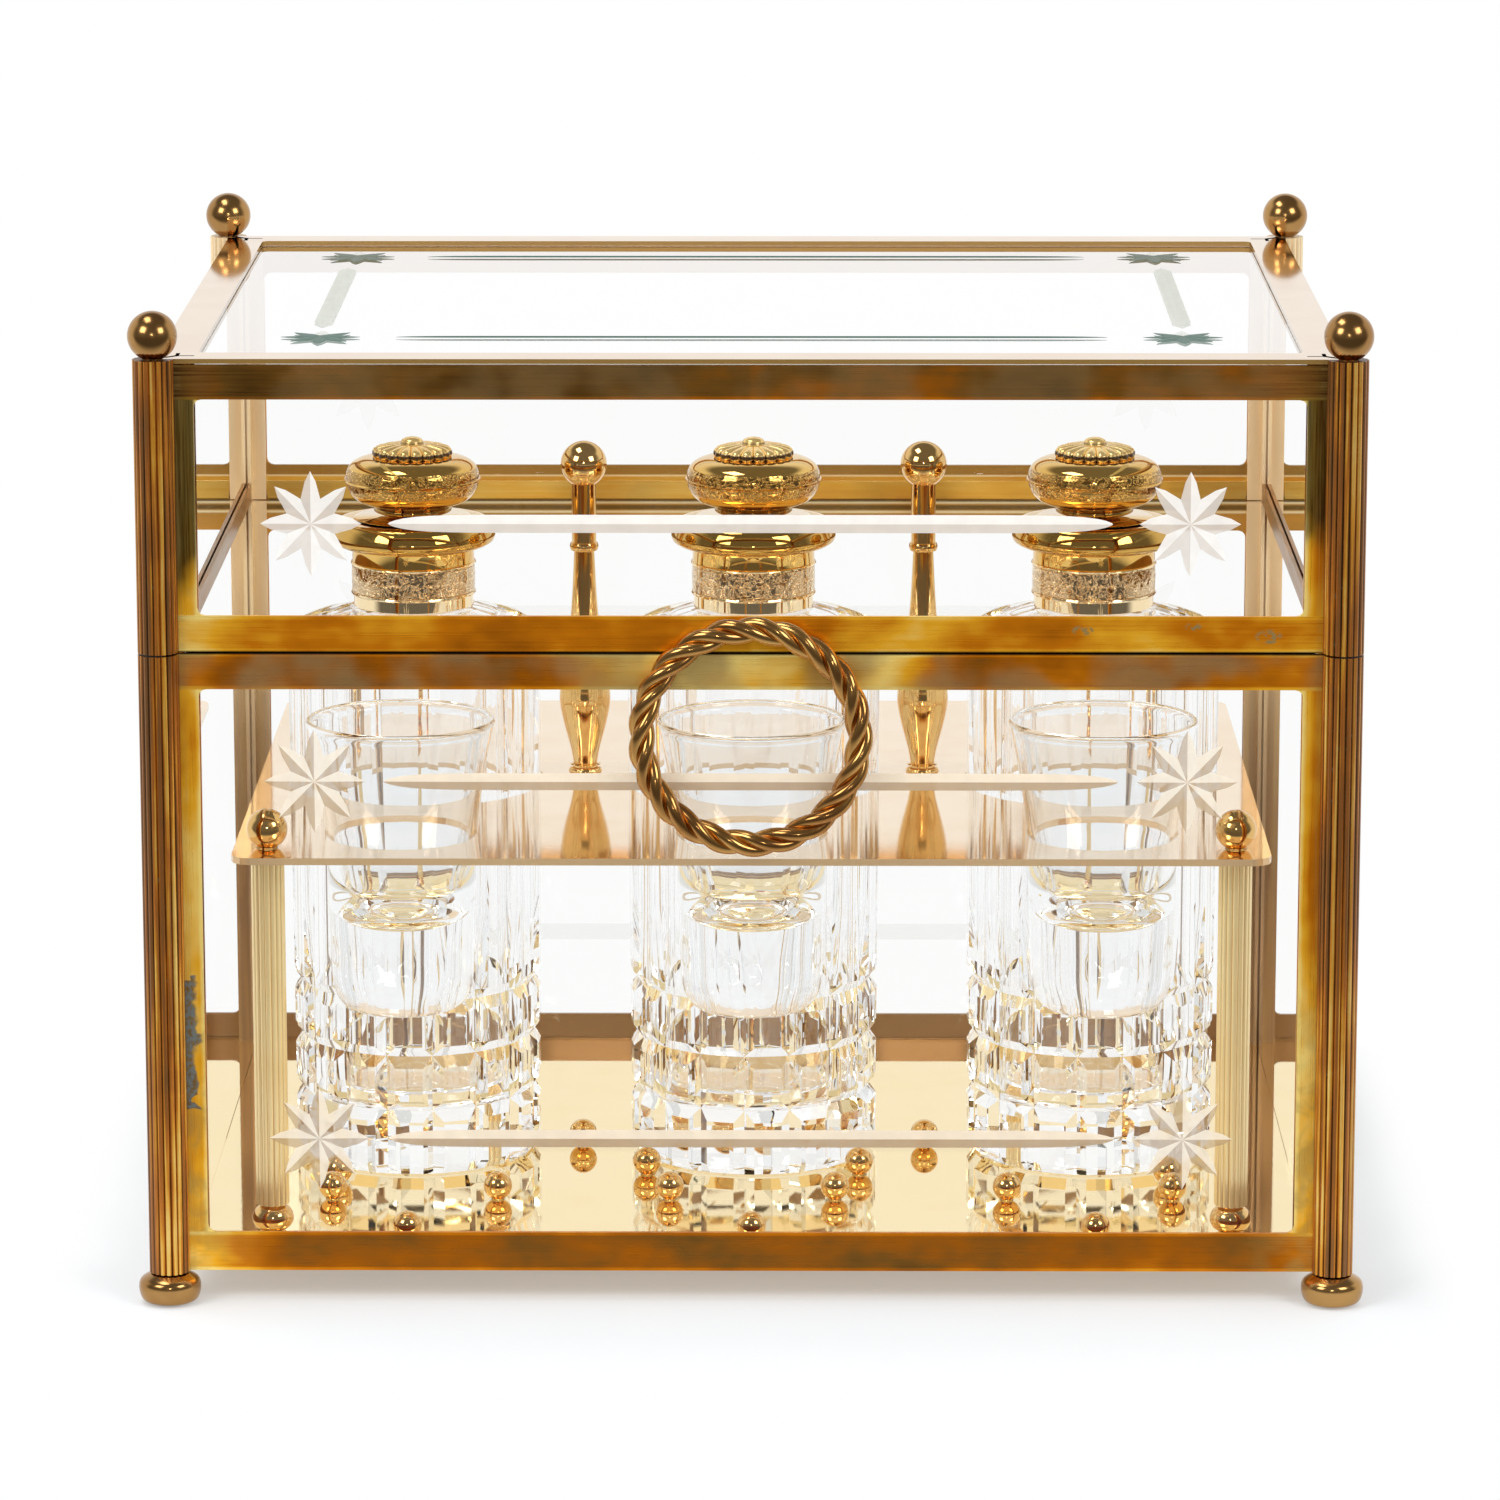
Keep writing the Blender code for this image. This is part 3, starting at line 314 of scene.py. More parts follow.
def aged_front(name):
    """Finish of the front frames: a tone for every rail and stile."""
    paint = Paint(name)
    where = paint.place()
    x, _, z = paint.parts(where)
    top, seam, under, base = [band(z, limits) for limits in FRONT_RAILS]
    rails = (top + seam + under + base).between(0.0, 1.0)
    streaks = along_grain(paint, where, rails, 1.8, 0.02)
    clouds = along_grain(paint, where, rails, 0.055, 0.60, 3.0)
    out, left_end, right = abs(x), (-x).between(95.0, 132.0), x.between(-1.0, 1.0)
    at_ring = 1.0 - out.between(30.0, 58.0)
    stile = out.between(139.2, 140.4) * (1.0 - rails) + out.between(122.0, 148.0) * rails
    tone = 0.84 - (top * 0.68 + seam * 0.24 + under * 0.40 + base * 0.54) * (1.0 - stile * 0.5)
    tone = tone + left_end * (seam * 0.12 + base * 0.22) + at_ring * (under * 0.50 + seam * 0.04)
    amber = 1.0 - abs(x + 48.0).between(25.0, 55.0)
    tone = tone + right * (seam * 0.10 + top * 0.08) - amber * seam * 0.08
    tone = tone - right * (1.0 - rails) * out.between(140.8, 143.2) * z.between(60.0, 100.0) * 0.16
    # Painted highlight and wear: the stiles' inner edges and narrow bands along the rails' edges are painted
    # lighter.
    rubbed_and_highlit_edges = (1.0 - out.between(139.9, 141.2)) * (1.0 - rails)
    for low, high in FRONT_RAILS:
        rubbed_and_highlit_edges = rubbed_and_highlit_edges + band(z, (low, low + 0.9)) + band(z, (high - 0.9, high))
    tone = tone + clouds.swing(0.90) + streaks.swing(0.13) + rubbed_and_highlit_edges * (0.20 - seam * 0.12)
    pale = paint.noise(where, 0.05, 2.0).between(0.38, 0.60) * (top * 0.28 + under * 0.62)
    colour = paint.mix(pale, brass_tone(paint, tone), (0.31, 0.20, 0.085))
    blot = paint.noise(where, 0.11, 3.0, 0.5, 0.6)
    # The stiles are darker above a ragged level between z 178 and 190.
    dark_top_level = z + clouds.swing(34.0) - right * 11.0 + (out - 145.0) * 1.2
    umber = paint.mix(streaks.between(0.35, 0.65), (0.018, 0.011, 0.003), (0.098, 0.062, 0.014))
    colour = paint.mix(stile * dark_top_level.between(178.0, 190.0) * 0.92, colour, umber)
    low_stile = stile * (1.0 - z.between(30.0, 110.0)) * blot.between(0.35, 0.60)
    colour = paint.mix(low_stile * 0.6, colour, (0.36, 0.23, 0.06))
    flecks = paint.noise(where, 0.7, 3.0, 0.6).between(0.40, 0.60)
    spots = []
    for across, up, half_x, half_z in VERDIGRIS:
        off_x, off_z = (x - across) / half_x, (z - up) / half_z
        away = off_x * off_x + off_z * off_z + blot.swing(1.2)
        spots.append((1.0 - away.between(0.5, 1.5)) * flecks)
    green = sum(spots)
    seam_line = out.between(142.4, 143.6) * streaks.between(0.40, 0.60)
    colour = paint.mix((green + seam_line * 0.3).between(0.0, 1.0), colour, (0.30, 0.21, 0.075))
    pits = (-x + blot.swing(9.0)).between(140.9, 142.1) * band(z + blot.swing(34.0), (52.0, 84.0))
    eaten = pits * paint.noise(where, 0.9, 3.0).between(0.35, 0.60)
    colour = paint.mix(pits * 0.8, colour, (0.060, 0.050, 0.038))
    colour = paint.mix(eaten * 0.9, colour, (0.17, 0.20, 0.20))
    fine = along_grain(paint, where, rails, 3.2, 0.03)
    normal = paint.bump(fine * 0.6 + blot * 0.8 - pits * 3.0, 0.00008, 0.35)
    gloss = 0.30 + streaks.swing(0.25) + (green + pits) * 0.15
    return dark_in_joint(paint, z, paint.principled(colour, gloss, normal, Metallic=0.5, Specular_IOR_Level=0.06))


def gilded_back(name):
    """Finish of the back frames, whose inner faces stayed bright but for the base rail."""
    paint = Paint(name)
    where = paint.place()
    z = paint.parts(where)[2]
    clouds = paint.drawn(where, (0.02, 0.06, 0.10))
    streaks = paint.drawn(where, (0.03, 1.2, 1.2))
    tone = 0.56 + band(z, (171.0, 176.8)) * 0.30 + clouds.swing(0.7) + streaks.swing(0.25)
    colour = paint.mix(0.5, brass_tone(paint, tone), (0.62, 0.40, 0.10))
    # Painted highlight: the pale lines along the rails; painted shade: the darker bands beside them.
    lines = band(z, (168.9, 169.8)) + band(z, (176.8, 177.3)) + band(z, (166.2, 166.9))
    colour = paint.mix(lines, colour, (0.90, 0.74, 0.44))
    shade = band(z, (167.2, 168.5)) + band(z, (177.3, 180.6)) * 0.55
    colour = paint.mix(shade, colour, (0.20, 0.115, 0.03))
    colour = paint.mix(1.0 - z.between(18.0, 24.0), colour, (0.36, 0.215, 0.12))
    normal = paint.bump(streaks, 0.00004, 0.3)
    return dark_in_joint(paint, z, paint.principled(
        colour, 0.12 + streaks * 0.12, normal, Metallic=0.65, Specular_IOR_Level=0.1))


def aged_side(name):
    """Finish of the side frames, duller and greener inside the case."""
    paint = Paint(name)
    where = paint.place()
    streaks = paint.drawn(where, (0.8, 0.03, 0.5), 4.0, 0.6)
    tone = 0.42 + paint.noise(where, 0.03, 3.0).swing(0.9) + streaks.swing(0.4)
    colour = paint.mix(0.55, brass_tone(paint, tone), (0.34, 0.225, 0.07))
    normal = paint.bump(streaks, 0.00006, 0.35)
    return paint.done(paint.principled(colour, 0.22 + streaks * 0.2, normal, Metallic=1.0))


def aged_posts(name):
    """Reeded posts: worn to gold on their crests and painted with highlight there, painted shade between the
    reeds and on their outer side.
    """
    paint = Paint(name)
    where = paint.place()
    x, y, z = paint.parts(where)
    out_x, radius = from_axes(x, y, POST_X, POST_Y)
    crest, outer = radius.between(4.80, 5.15), out_x.between(0.5, 5.0)
    upright = paint.drawn(where, (0.55, 0.55, 0.010), 3.0, 0.6)
    clouds = paint.drawn(where, (0.05, 0.05, 0.03), 4.0, 0.6, 0.3)
    # Painted highlight on the crests; painted shade in the grooves and on the posts' outer side.
    tone = 0.16 + crest * 0.42 + clouds.swing(0.9) + upright.between(0.38, 0.62).swing(0.62) - outer * 0.10
    umber = paint.mix(crest, (0.10, 0.042, 0.018), (0.42, 0.20, 0.09))
    umber = paint.mix(outer * 0.5, umber, (0.17, 0.085, 0.050))
    colour = paint.mix(0.28 + outer * 0.34, brass_tone(paint, tone), umber)
    far_tint = paint.mix(z.between(60.0, 175.0), (0.36, 0.25, 0.155), (0.98, 0.78, 0.49))
    far = y.between(60.0, 90.0)
    colour = paint.mix(far * 0.85, colour, far_tint)
    green = paint.noise(where, 0.5, 4.0, 0.7).between(0.60, 0.68) * (1.0 - crest) * clouds.between(0.5, 0.6)
    colour = paint.mix(green * 0.7, colour, (0.22, 0.24, 0.17))
    gloss = 0.24 + (1.0 - crest) * 0.12
    return paint.done(paint.principled(
        colour, gloss, paint.bump(upright, 0.00006, 0.4), Metallic=0.65 - far * 0.35, Specular_IOR_Level=0.06))


front_brass = aged_front("old_brass_front")
back_brass = gilded_back("bright_brass_back")
side_brass = aged_side("old_brass_sides")
post_brass = aged_posts("old_brass_posts")
print("old brass:", front_brass.name, back_brass.name, side_brass.name, post_brass.name)

# %% [markdown]
# ## Bright brass, gilding and the mirror
# Inside the case nothing is rubbed, so its brass stays bright. The gilding of the
# collars and stoppers is deeper in colour, and scrolls are engraved in its bands; its
# flange and the lower head of the stopper are painted darker, and the collar paler, as painted reflection. One
# recipe serves them all: a metal with little roughness, and faint clouds so that no face
# is perfectly even. Upright faces and grooves may take a darker colour of their own: painted shade.

# %% Bright metals
GILT_BANDS = ((166.5, 169.8), (170.2, 173.5), (193.2, 196.1), (196.9, 199.6))
COLUMN_X = 125.3
COLUMN_Y = 88.0


def engraved_gilding(paint, where, tint):
    """Scrolls in the bands, and the tones of the turned parts between, partly painted reflection and painted
    shade: colour and normal.
    """
    z = paint.parts(where)[2]
    inside = sum(band(z, limits) for limits in GILT_BANDS)
    curls = paint.noise(where, 0.62, 1.0, 0.4, 1.6)
    cut = curls.between(0.44, 0.50) * (1.0 - curls.between(0.55, 0.61)) * inside
    # Painted reflection: the collar below z 174 is paler.
    tint = paint.mix(1.0 - z.between(173.8, 174.6), tint, (0.94, 0.75, 0.46))
    # Painted shade: the flange, z 178.6 to 185.5, is darker.
    tint = paint.mix(band(z, (178.6, 185.5)), tint, (0.62, 0.37, 0.09))
    # Painted dark reflection: the stopper's foot ring and the lower part of its head, z 187 to 191.4, are darker.
    tint = paint.mix(band(z, (187.0, 191.4)) * 0.8, tint, (0.30, 0.17, 0.045))
    ground = paint.mix(z.between(180.0, 181.0), (0.46, 0.30, 0.17), (0.20, 0.10, 0.022))
    return paint.mix(inside * (1.0 - cut) * 0.62, tint, ground), paint.bump(cut, 0.00045, 1.0)


def bright_metal(name, colour, shade, roughness, clouding=0.08, scrolls=False, metallic=1.0,
                 edge=None, groove=None):
    """Polished metal with faint clouds; scrolls in bands; painted shade on upright faces and in grooves."""
    paint = Paint(name)
    where = paint.place()
    clouds = paint.noise(where, 0.05, 4.0)
    tint = paint.mix(clouds.between(0.35, 0.7), colour, shade)
    gloss = roughness + clouds * clouding * 0.5
    if scrolls:
        tint, normal = engraved_gilding(paint, where, tint)
    else:
        normal = paint.bump(paint.noise(where, 1.5, 3.0), 0.00002, 0.15)
    # Painted shade: the grooves between the columns' reeds take the darker colour groove.
    if groove:
        x, y, _ = paint.parts(where)
        crest = from_axes(x, y, COLUMN_X, COLUMN_Y)[1].between(3.98, 4.16)
        tint = paint.mix(1.0 - crest, tint, groove)
    # Painted shade: upright faces take the darker colour edge, and less metal.
    if edge:
        facing = paint.parts(paint.node("NewGeometry", {}, {}, "Normal"))[2]
        upright = 1.0 - (facing * facing).between(0.05, 0.25)
        tint = paint.mix(upright, tint, edge)
        metallic = metallic - upright * 0.5
    return paint.done(paint.principled(tint, gloss, normal, Metallic=metallic))


# The edge and groove colours given below are painted shade, darker than the metal's own.
ball_brass = bright_metal("polished_bronze_balls", (0.48, 0.275, 0.095), (0.36, 0.19, 0.065), 0.17)
column_brass = bright_metal("pale_brass_columns", (0.98, 0.77, 0.40), (0.95, 0.72, 0.35), 0.18,
                            metallic=0.45, groove=(0.66, 0.45, 0.19))
inner_brass = bright_metal("bright_brass", (0.80, 0.52, 0.21), (0.74, 0.46, 0.16), 0.06)
plate_brass = bright_metal("mirror_brass_plate", (0.96, 0.77, 0.56), (0.93, 0.72, 0.49), 0.05,
                           edge=(0.80, 0.55, 0.30))
top_brass = bright_metal("polished_top_plate", (0.84, 0.66, 0.48), (0.80, 0.61, 0.44), 0.05,
                         edge=(0.36, 0.21, 0.06))
gilding = bright_metal("gilding", (0.80, 0.51, 0.15), (0.74, 0.44, 0.11), 0.03, 0.06, scrolls=True)
rosette_gilding = bright_metal("gilding_of_rosettes", (0.95, 0.68, 0.28), (0.88, 0.58, 0.20), 0.20,
                               metallic=0.75, edge=(0.07, 0.035, 0.010))
ring_brass = bright_metal("twisted_ring_brass", (0.56, 0.32, 0.10), (0.36, 0.165, 0.05), 0.16)
mirror = bright_metal("gold_mirror", (0.98, 0.78, 0.42), (0.97, 0.76, 0.39), 0.015, 0.02)
print("bright metals: balls, columns, inner brass, plates, gilding, rosettes, ring, mirror")

# %% [markdown]
# ## Glass
# A path tracer finds no straight shadow ray through glass that bends light. So thick
# crystal refracts, but turns transparent for shadow rays, by Light Path's own answer. A
# thin pane bends nothing: it is transparent, mixed with a mirror that grows at a slant.
# A ray that has met many clear faces would be lost and go black, so it ends in plain light.

# %% Glass
DEEP_RAY = 5.5


def see_through(paint, tint, limit=6.5):
    """Transparent, until a ray has met so many clear faces that it would be lost; then plain light."""
    clear = paint.node("BsdfTransparent", {}, {"Color": tint})
    lost = paint.ray("Transparent Depth").between(limit, limit + 0.2) * (1.0 - paint.ray("Is Shadow Ray"))
    paint.owner.cycles.emission_sampling = "NONE"
    return paint.blend(lost, clear, paint.glow((0.84, 0.83, 0.80)))


def wavy(paint):
    """The faint waves of drawn glass, as a normal."""
    return paint.bump(paint.noise(paint.place(), 0.02, 2.0), 0.00002, 0.05)


def pane(name, tint):
    """Thin pane: straight through, with a mirror's share that grows at a slant."""
    paint = Paint(name)
    normal = wavy(paint)
    mirrored = paint.node("BsdfGlossy", {}, {"Color": WHITE, "Roughness": 0.0, "Normal": normal})
    outer = 1.0 - paint.node("NewGeometry", {}, {}, "Backfacing")
    share = paint.node("Fresnel", {}, {"IOR": 1.5, "Normal": normal}) * outer * 1.6
    return paint.done(paint.blend(share.between(0.0, 1.0), see_through(paint, tint), mirrored))


def clear_glass(name, tint, index):
    """Glass that lets shadow rays through, and very deep rays too."""
    paint = Paint(name)
    body = paint.principled(tint, 0.0, wavy(paint), IOR=index, Transmission_Weight=1.0)
    deep = paint.ray("Ray Depth").between(DEEP_RAY, DEEP_RAY + 0.2)
    turned = paint.ray("Glossy Depth").between(2.5, 2.6)
    straight = (paint.ray("Is Shadow Ray") + deep + turned).between(0.0, 1.0)
    return paint.done(paint.blend(straight, body, see_through(paint, (0.96, 0.965, 0.97), 4.5)))


pane_glass = pane("pane_glass", (0.994, 0.996, 0.994))
top_glass = pane("top_pane_glass", (0.996, 0.999, 0.997))
crystal = clear_glass("cut_crystal", (0.99, 0.99, 0.992), 1.52)
drinking_glass = clear_glass("drinking_glass", (0.98, 0.985, 0.99), 1.50)
print("glass:", pane_glass.name, crystal.name, drinking_glass.name)

# %% [markdown]
# ## Ground glass
# A cutter's wheel leaves a frosted face. It is pale and catches light from both sides,
# and where it is thin it still shows what lies behind. Each cut takes one of these tones; light and dim, and
# cream and gold, are lit and shaded copies of one frosted face: painted light and painted shade.

# %% Ground glass of the cut stars and lines
# light and dim, and cream and gold, are lit and shaded copies of one frosted glass: painted light and painted
# shade.
GROUND = {
    "light": ((0.97, 0.94, 0.90), 0.10, 0.5), "dim": ((0.78, 0.71, 0.64), 0.20, 0.5),
    "cream": ((0.97, 0.87, 0.72), 0.18, 0.5), "gold": ((0.50, 0.34, 0.18), 0.40, 0.5),
    "faint": ((0.95, 0.95, 0.95), 0.90, 0.5), "green": ((0.07, 0.17, 0.13), 0.0, 0.3),
    "grey": ((0.12, 0.16, 0.11), 0.0, 0.3), "pale": ((0.80, 0.83, 0.78), 0.35, 0.4),
}


def ground_glass(name, colour, seen_through, roughness):
    """Frosted facets of a cut: pale, lit from both sides, with a share that shows what lies behind."""
    paint = Paint(name)
    where = paint.place()
    clouds = paint.noise(where, 0.25, 3.0).between(0.35, 0.65)
    tint = paint.mix(clouds, colour, tuple(0.94 * v for v in colour))
    normal = paint.bump(paint.noise(where, 6.0, 4.0), 0.00003, 0.2)
    through = paint.node("BsdfTranslucent", {}, {"Color": colour, "Normal": normal})
    body = paint.blend(0.35, paint.principled(tint, roughness, normal), through)
    return paint.done(paint.blend(seen_through, body, see_through(paint, WHITE)))


facets = {tone: ground_glass("cut_facet_" + tone, *values) for tone, values in GROUND.items()}
print("ground glass:", ", ".join(facets))

# %% [markdown]
# ## Shapes in code
# Most pieces are turned on a lathe: a profile of radius and height is swung round an
# axis. Others are outlines that are pushed up. Both give points and faces, and one
# function makes the object, turns its faces outwards and hangs it on its body.

# %% Shape helpers


def make_piece(name, shape, finish, body, replaced=(), sharp=35.0):
    """Mesh object in metres from points in millimetres."""
    points, faces = shape
    mesh = bpy.data.meshes.new(name)
    mesh.from_pydata([tuple(MM * v for v in point) for point in points], [], faces)
    work = bmesh.new()
    work.from_mesh(mesh)
    bmesh.ops.recalc_face_normals(work, faces=work.faces)
    work.to_mesh(mesh)
    work.free()
    mesh.shade_smooth()
    mesh.set_sharp_from_angle(angle=math.radians(sharp))
    for one in finish if isinstance(finish, (list, tuple)) else (finish,):
        mesh.materials.append(one)
    obj = add_object(name, mesh)
    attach(obj, body)
    if replaced:
        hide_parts(*replaced)
    return obj


def soft(points, steps=6):
    """A smooth line through points, by Catmull and Rom's rule."""
    line = []
    padded = [points[0]] + list(points) + [points[-1]]
    for before, start, end, after in zip(padded, padded[1:], padded[2:], padded[3:]):
        for step in range(steps):
            t = step / steps
            line.append(tuple(
                0.5 * (2 * b + (c - a) * t + (2 * a - 5 * b + 4 * c - d) * t * t
                       + (3 * b - a - 3 * c + d) * t ** 3)
                for a, b, c, d in zip(before, start, end, after)
            ))
    line.append(tuple(points[-1]))
    return line


def arc(radius, centre, start, end, steps):
    """Points (radius, height) on a circle about (0, centre), angles above the equator."""
    angles = [math.radians(start + (end - start) * i / steps) for i in range(steps + 1)]
    return [(max(radius * math.cos(a), 0.0), centre + radius * math.sin(a)) for a in angles]


def lathe(profile, segments, centre=(0.0, 0.0, 0.0), closed=False, ripple=None):
    """Turn (radius, height) about an upright axis."""
    points, faces, rings = [], [], []
    middle_x, middle_y, foot_z = centre
    for radius, height in profile:
        ring = []
        for step in range(1 if radius < 1e-6 else segments):
            angle = math.tau * step / segments
            out, up = ripple(angle, radius, height) if ripple and radius >= 1e-6 else (radius, height)
            ring.append(len(points))
            points.append((middle_x + out * math.cos(angle), middle_y + out * math.sin(angle), foot_z + up))
        rings.append(ring)
    pairs = list(zip(rings, rings[1:])) + ([(rings[-1], rings[0])] if closed else [])
    for low, high in pairs:
        for step in range(segments):
            after = (step + 1) % segments
            if len(low) == 1 and len(high) == 1:
                continue
            if len(low) == 1:
                faces.append((low[0], high[after], high[step]))
            elif len(high) == 1:
                faces.append((low[step], low[after], high[0]))
            else:
                faces.append((low[step], low[after], high[after], high[step]))
    return points, faces


def prism(outline, low, high):
    """Push an outline in X and Y up from one height to another."""
    count = len(outline)
    points = [(x, y, low) for x, y in outline] + [(x, y, high) for x, y in outline]
    faces = [tuple(range(count)), tuple(range(count, 2 * count))]
    faces += [(i, (i + 1) % count, count + (i + 1) % count, count + i) for i in range(count)]
    return points, faces


def slab(x_limits, y_limits, low, high):
    """Rectangular prism."""
    (left, right), (near, far) = x_limits, y_limits
    return prism([(left, near), (right, near), (right, far), (left, far)], low, high)


def joined(*shapes):
    """Several shapes as one list of points and one of faces."""
    points, faces = [], []
    for more_points, more_faces in shapes:
        start = len(points)
        points += more_points
        faces += [tuple(start + i for i in face) for face in more_faces]
    return points, faces


print("shape helpers: lathe, prism, slab, soft, arc")

# %% [markdown]
# ## Feet, posts and balls
# Bun feet and ball finials are turned. The posts are drawn tube with round reeds over
# three quarters of their girth, and the corner channel that holds the panes behind.
# The reeds are real: six points each, so that their highlights run true.

# %% Case corners
FOOT_H = 7.8
BODY_Z = 8.1
BODY_TOP_Z = 170.4
LID_Z = 170.9
LID_TOP_Z = 245.8
BALL_Z = LID_TOP_Z + 0.3 + 5.6
POST_REEDS = 14
REED_STEPS = 6


def foot(corner, place):
    """Bun foot."""
    side = soft([(5.2, 0.0), (7.2, 1.0), (8.0, 3.7), (7.5, 6.1), (5.2, 7.6)], 8)
    profile = [(0.0, 0.0)] + side + [(4.6, FOOT_H), (0.0, FOOT_H)]
    make_piece("bun_foot_" + corner, lathe(profile, 56, place), ball_brass, "case",
               ("foot_" + corner,), 50.0)


def finial(corner, place):
    """Ball on a short neck."""
    profile = [(0.0, LID_TOP_Z + 0.1), (2.6, LID_TOP_Z + 0.1), (2.6, BALL_Z - 5.7)]
    profile += arc(6.3, BALL_Z, -62.0, 90.0, 24)
    make_piece("ball_" + corner, lathe(profile, 56, place), ball_brass, "lid",
               ("finial_" + corner,), 50.0)


def post_outline(corner_x, corner_y):
    """Reeded three-quarter round with its corner channel."""
    web, near, leaf, end = 1.1, 5.1, 6.1, 10.0
    outline = [(5.2, 0.0), (web, 0.0), (near + web, near), (end, near), (end, leaf), (leaf, leaf)]
    outline += [(leaf, end), (near, end), (near, near + web), (0.0, web), (0.0, 5.2)]
    for step in range(1, POST_REEDS * REED_STEPS):
        angle = math.radians(90.0 + 270.0 * step / (POST_REEDS * REED_STEPS))
        swell = abs(math.sin(math.pi * step / REED_STEPS))
        radius = 4.72 + 0.5 * swell ** 0.6
        outline.append((radius * math.cos(angle), radius * math.sin(angle)))
    return [(corner_x * (POST_X - x), corner_y * (POST_Y - y)) for x, y in outline]


for corner, corner_x, corner_y in CORNERS:
    place = (corner_x * POST_X, corner_y * POST_Y, 0.0)
    foot(corner, place)
    finial(corner, place)
    for half, body, low, high in (("body", "case", BODY_Z, BODY_TOP_Z), ("lid", "lid", LID_Z, LID_TOP_Z)):
        make_piece("reeded_%s_post_%s" % (half, corner), prism(post_outline(corner_x, corner_y), low, high),
                   post_brass, body, ("%s_post_%s" % (half, corner),), 25.0)
print("corners: 4 feet, 4 balls, 8 reeded posts")

# %% [markdown]
# ## Frames and panes
# The flat frames and the panes have the right shape already. They keep their meshes and
# take a finish; a narrow bevel catches the light along the frames' edges.

# %% Finishes for the frames, panes and hinges


def dress(node, finish, bevel=0.0):
    """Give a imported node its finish, and a bevel in millimetres."""
    obj = nodes[node]
    obj.data.materials.clear()
    obj.data.materials.append(finish)
    if bevel:
        modifier = obj.modifiers.new("worn_edges", "BEVEL")
        modifier.width = bevel * MM
        modifier.segments = 2
        modifier.limit_method = "ANGLE"
        modifier.harden_normals = True


for wall in WALLS:
    finish = {"front": front_brass, "back": back_brass}.get(wall, side_brass)
    for half in ("body", "lid"):
        dress("%s_frame_%s" % (half, wall), finish, 0.18)
        dress("%s_pane_%s" % (half, wall), pane_glass)
dress("lid_frame_top", top_brass, 0.12)
dress("lid_pane_top", top_glass)
for hand, _ in HANDS:
    dress("hinge_body_leaf_" + hand, inner_brass, 0.15)
    dress("hinge_lid_leaf_" + hand, inner_brass, 0.15)
dress("base_mirror", mirror)
dress("base_plate", inner_brass)
dress("rack_plate", plate_brass, 0.3)
print("dressed: frames, panes, hinges, plates and mirror")

# %% [markdown]
# ## The dark joint
# Lid and body meet in a joint half a millimetre high. Light would shine through it from
# behind. A thin black strip under the lid's folded channel keeps it out; it is no part of the
# case but painted shadow, and the joint reads as one black line.

# %% Joint shadow strip
SHADOW_STRIP_NEAR, SHADOW_STRIP_FAR = 1.6, 1.2
SHADOW_STRIP_HALF_X, SHADOW_STRIP_HALF_Y = 143.0, 108.0


def joint_shadow_strip():
    """Four thin black bars under the lid's rails: painted shadow for the joint."""
    low, high = BODY_TOP_Z + 0.04, LID_Z + 0.3
    bars = []
    for side in (-1, 1):
        across = sorted((side * (POST_Y - SHADOW_STRIP_NEAR), side * (POST_Y - SHADOW_STRIP_FAR)))
        bars.append(slab((-SHADOW_STRIP_HALF_X, SHADOW_STRIP_HALF_X), across, low, high))
        across = sorted((side * (POST_X - SHADOW_STRIP_NEAR), side * (POST_X - SHADOW_STRIP_FAR)))
        bars.append(slab(across, (-SHADOW_STRIP_HALF_Y, SHADOW_STRIP_HALF_Y), low, high))
    paint = Paint("painted_joint_shadow")
    make_piece("joint_shadow_strip", joined(*bars), paint.done(paint.gap_shadow_black()), "lid")
    return len(bars)


print("joint lip:", joint_shadow_strip(), "bars")

# %% [markdown]
# ## Stars and lines cut in the panes
# A cutter's wheel leaves a groove with two sloping sides. Eight such cuts cross in a
# star, and one long cut is a lens with a ridge of light along it. Each facet is a real
# face, so its shade comes partly from its slope, and light and dim facets take turns: one side of each cut takes
# a lit finish, the other a shaded one, painted light and painted shade.

# %% Cut stars and lines
STAR_X = 111.0
STAR_R = 12.8
TOP_STAR_R = 10.2
TOP_GLASS = 244.6 + 0.05
BACKING = -0.06
LINE_STEPS, CAPSULE_STEPS = 32, 20


def star_shape(radius, depth, tall=1.05):
    """Eight-pointed star in X and Y, a little taller than wide, with bowed rays and its middle lowest."""
    outline = []
    turn = math.pi / 8
    for step in range(16):
        reach, after = (radius, radius * 0.51) if step % 2 == 0 else (radius * 0.51, radius)
        angle = math.pi * step / 8 + math.pi / 2
        x, y = reach * math.cos(angle), reach * math.sin(angle) * tall
        end = (after * math.cos(angle + turn), after * math.sin(angle + turn) * tall)
        outline += [(x, y), (0.5 * (x + end[0]) * 1.09, 0.5 * (y + end[1]) * 1.09)]
    count = len(outline)
    points = [(0.0, 0.0, depth)]
    points += [(x, y, 0.0 if step % 4 else depth * 0.12) for step, (x, y) in enumerate(outline)]
    points += [(x, y, BACKING) for x, y in outline]
    # Mark 0 takes the first, lit finish and mark 1 the second, shaded one, by the side of its ray a facet lies
    # on: painted light and painted shade.
    faces, marks = [], []
    for step in range(count):
        faces.append((0, 1 + step, 1 + (step + 1) % count))
        axis = math.pi / 2 + math.pi / 4 * math.floor((step + 2) / 4)
        side = axis + math.pi / 2 if (step % 4) < 2 else axis - math.pi / 2
        marks.append(0 if 0.35 * math.cos(side) + 0.94 * math.sin(side) > 0.0 else 1)
    for step in range(count):
        after = (step + 1) % count
        faces.append((1 + step, count + 1 + step, count + 1 + after, 1 + after))
    return points, faces, marks * 2


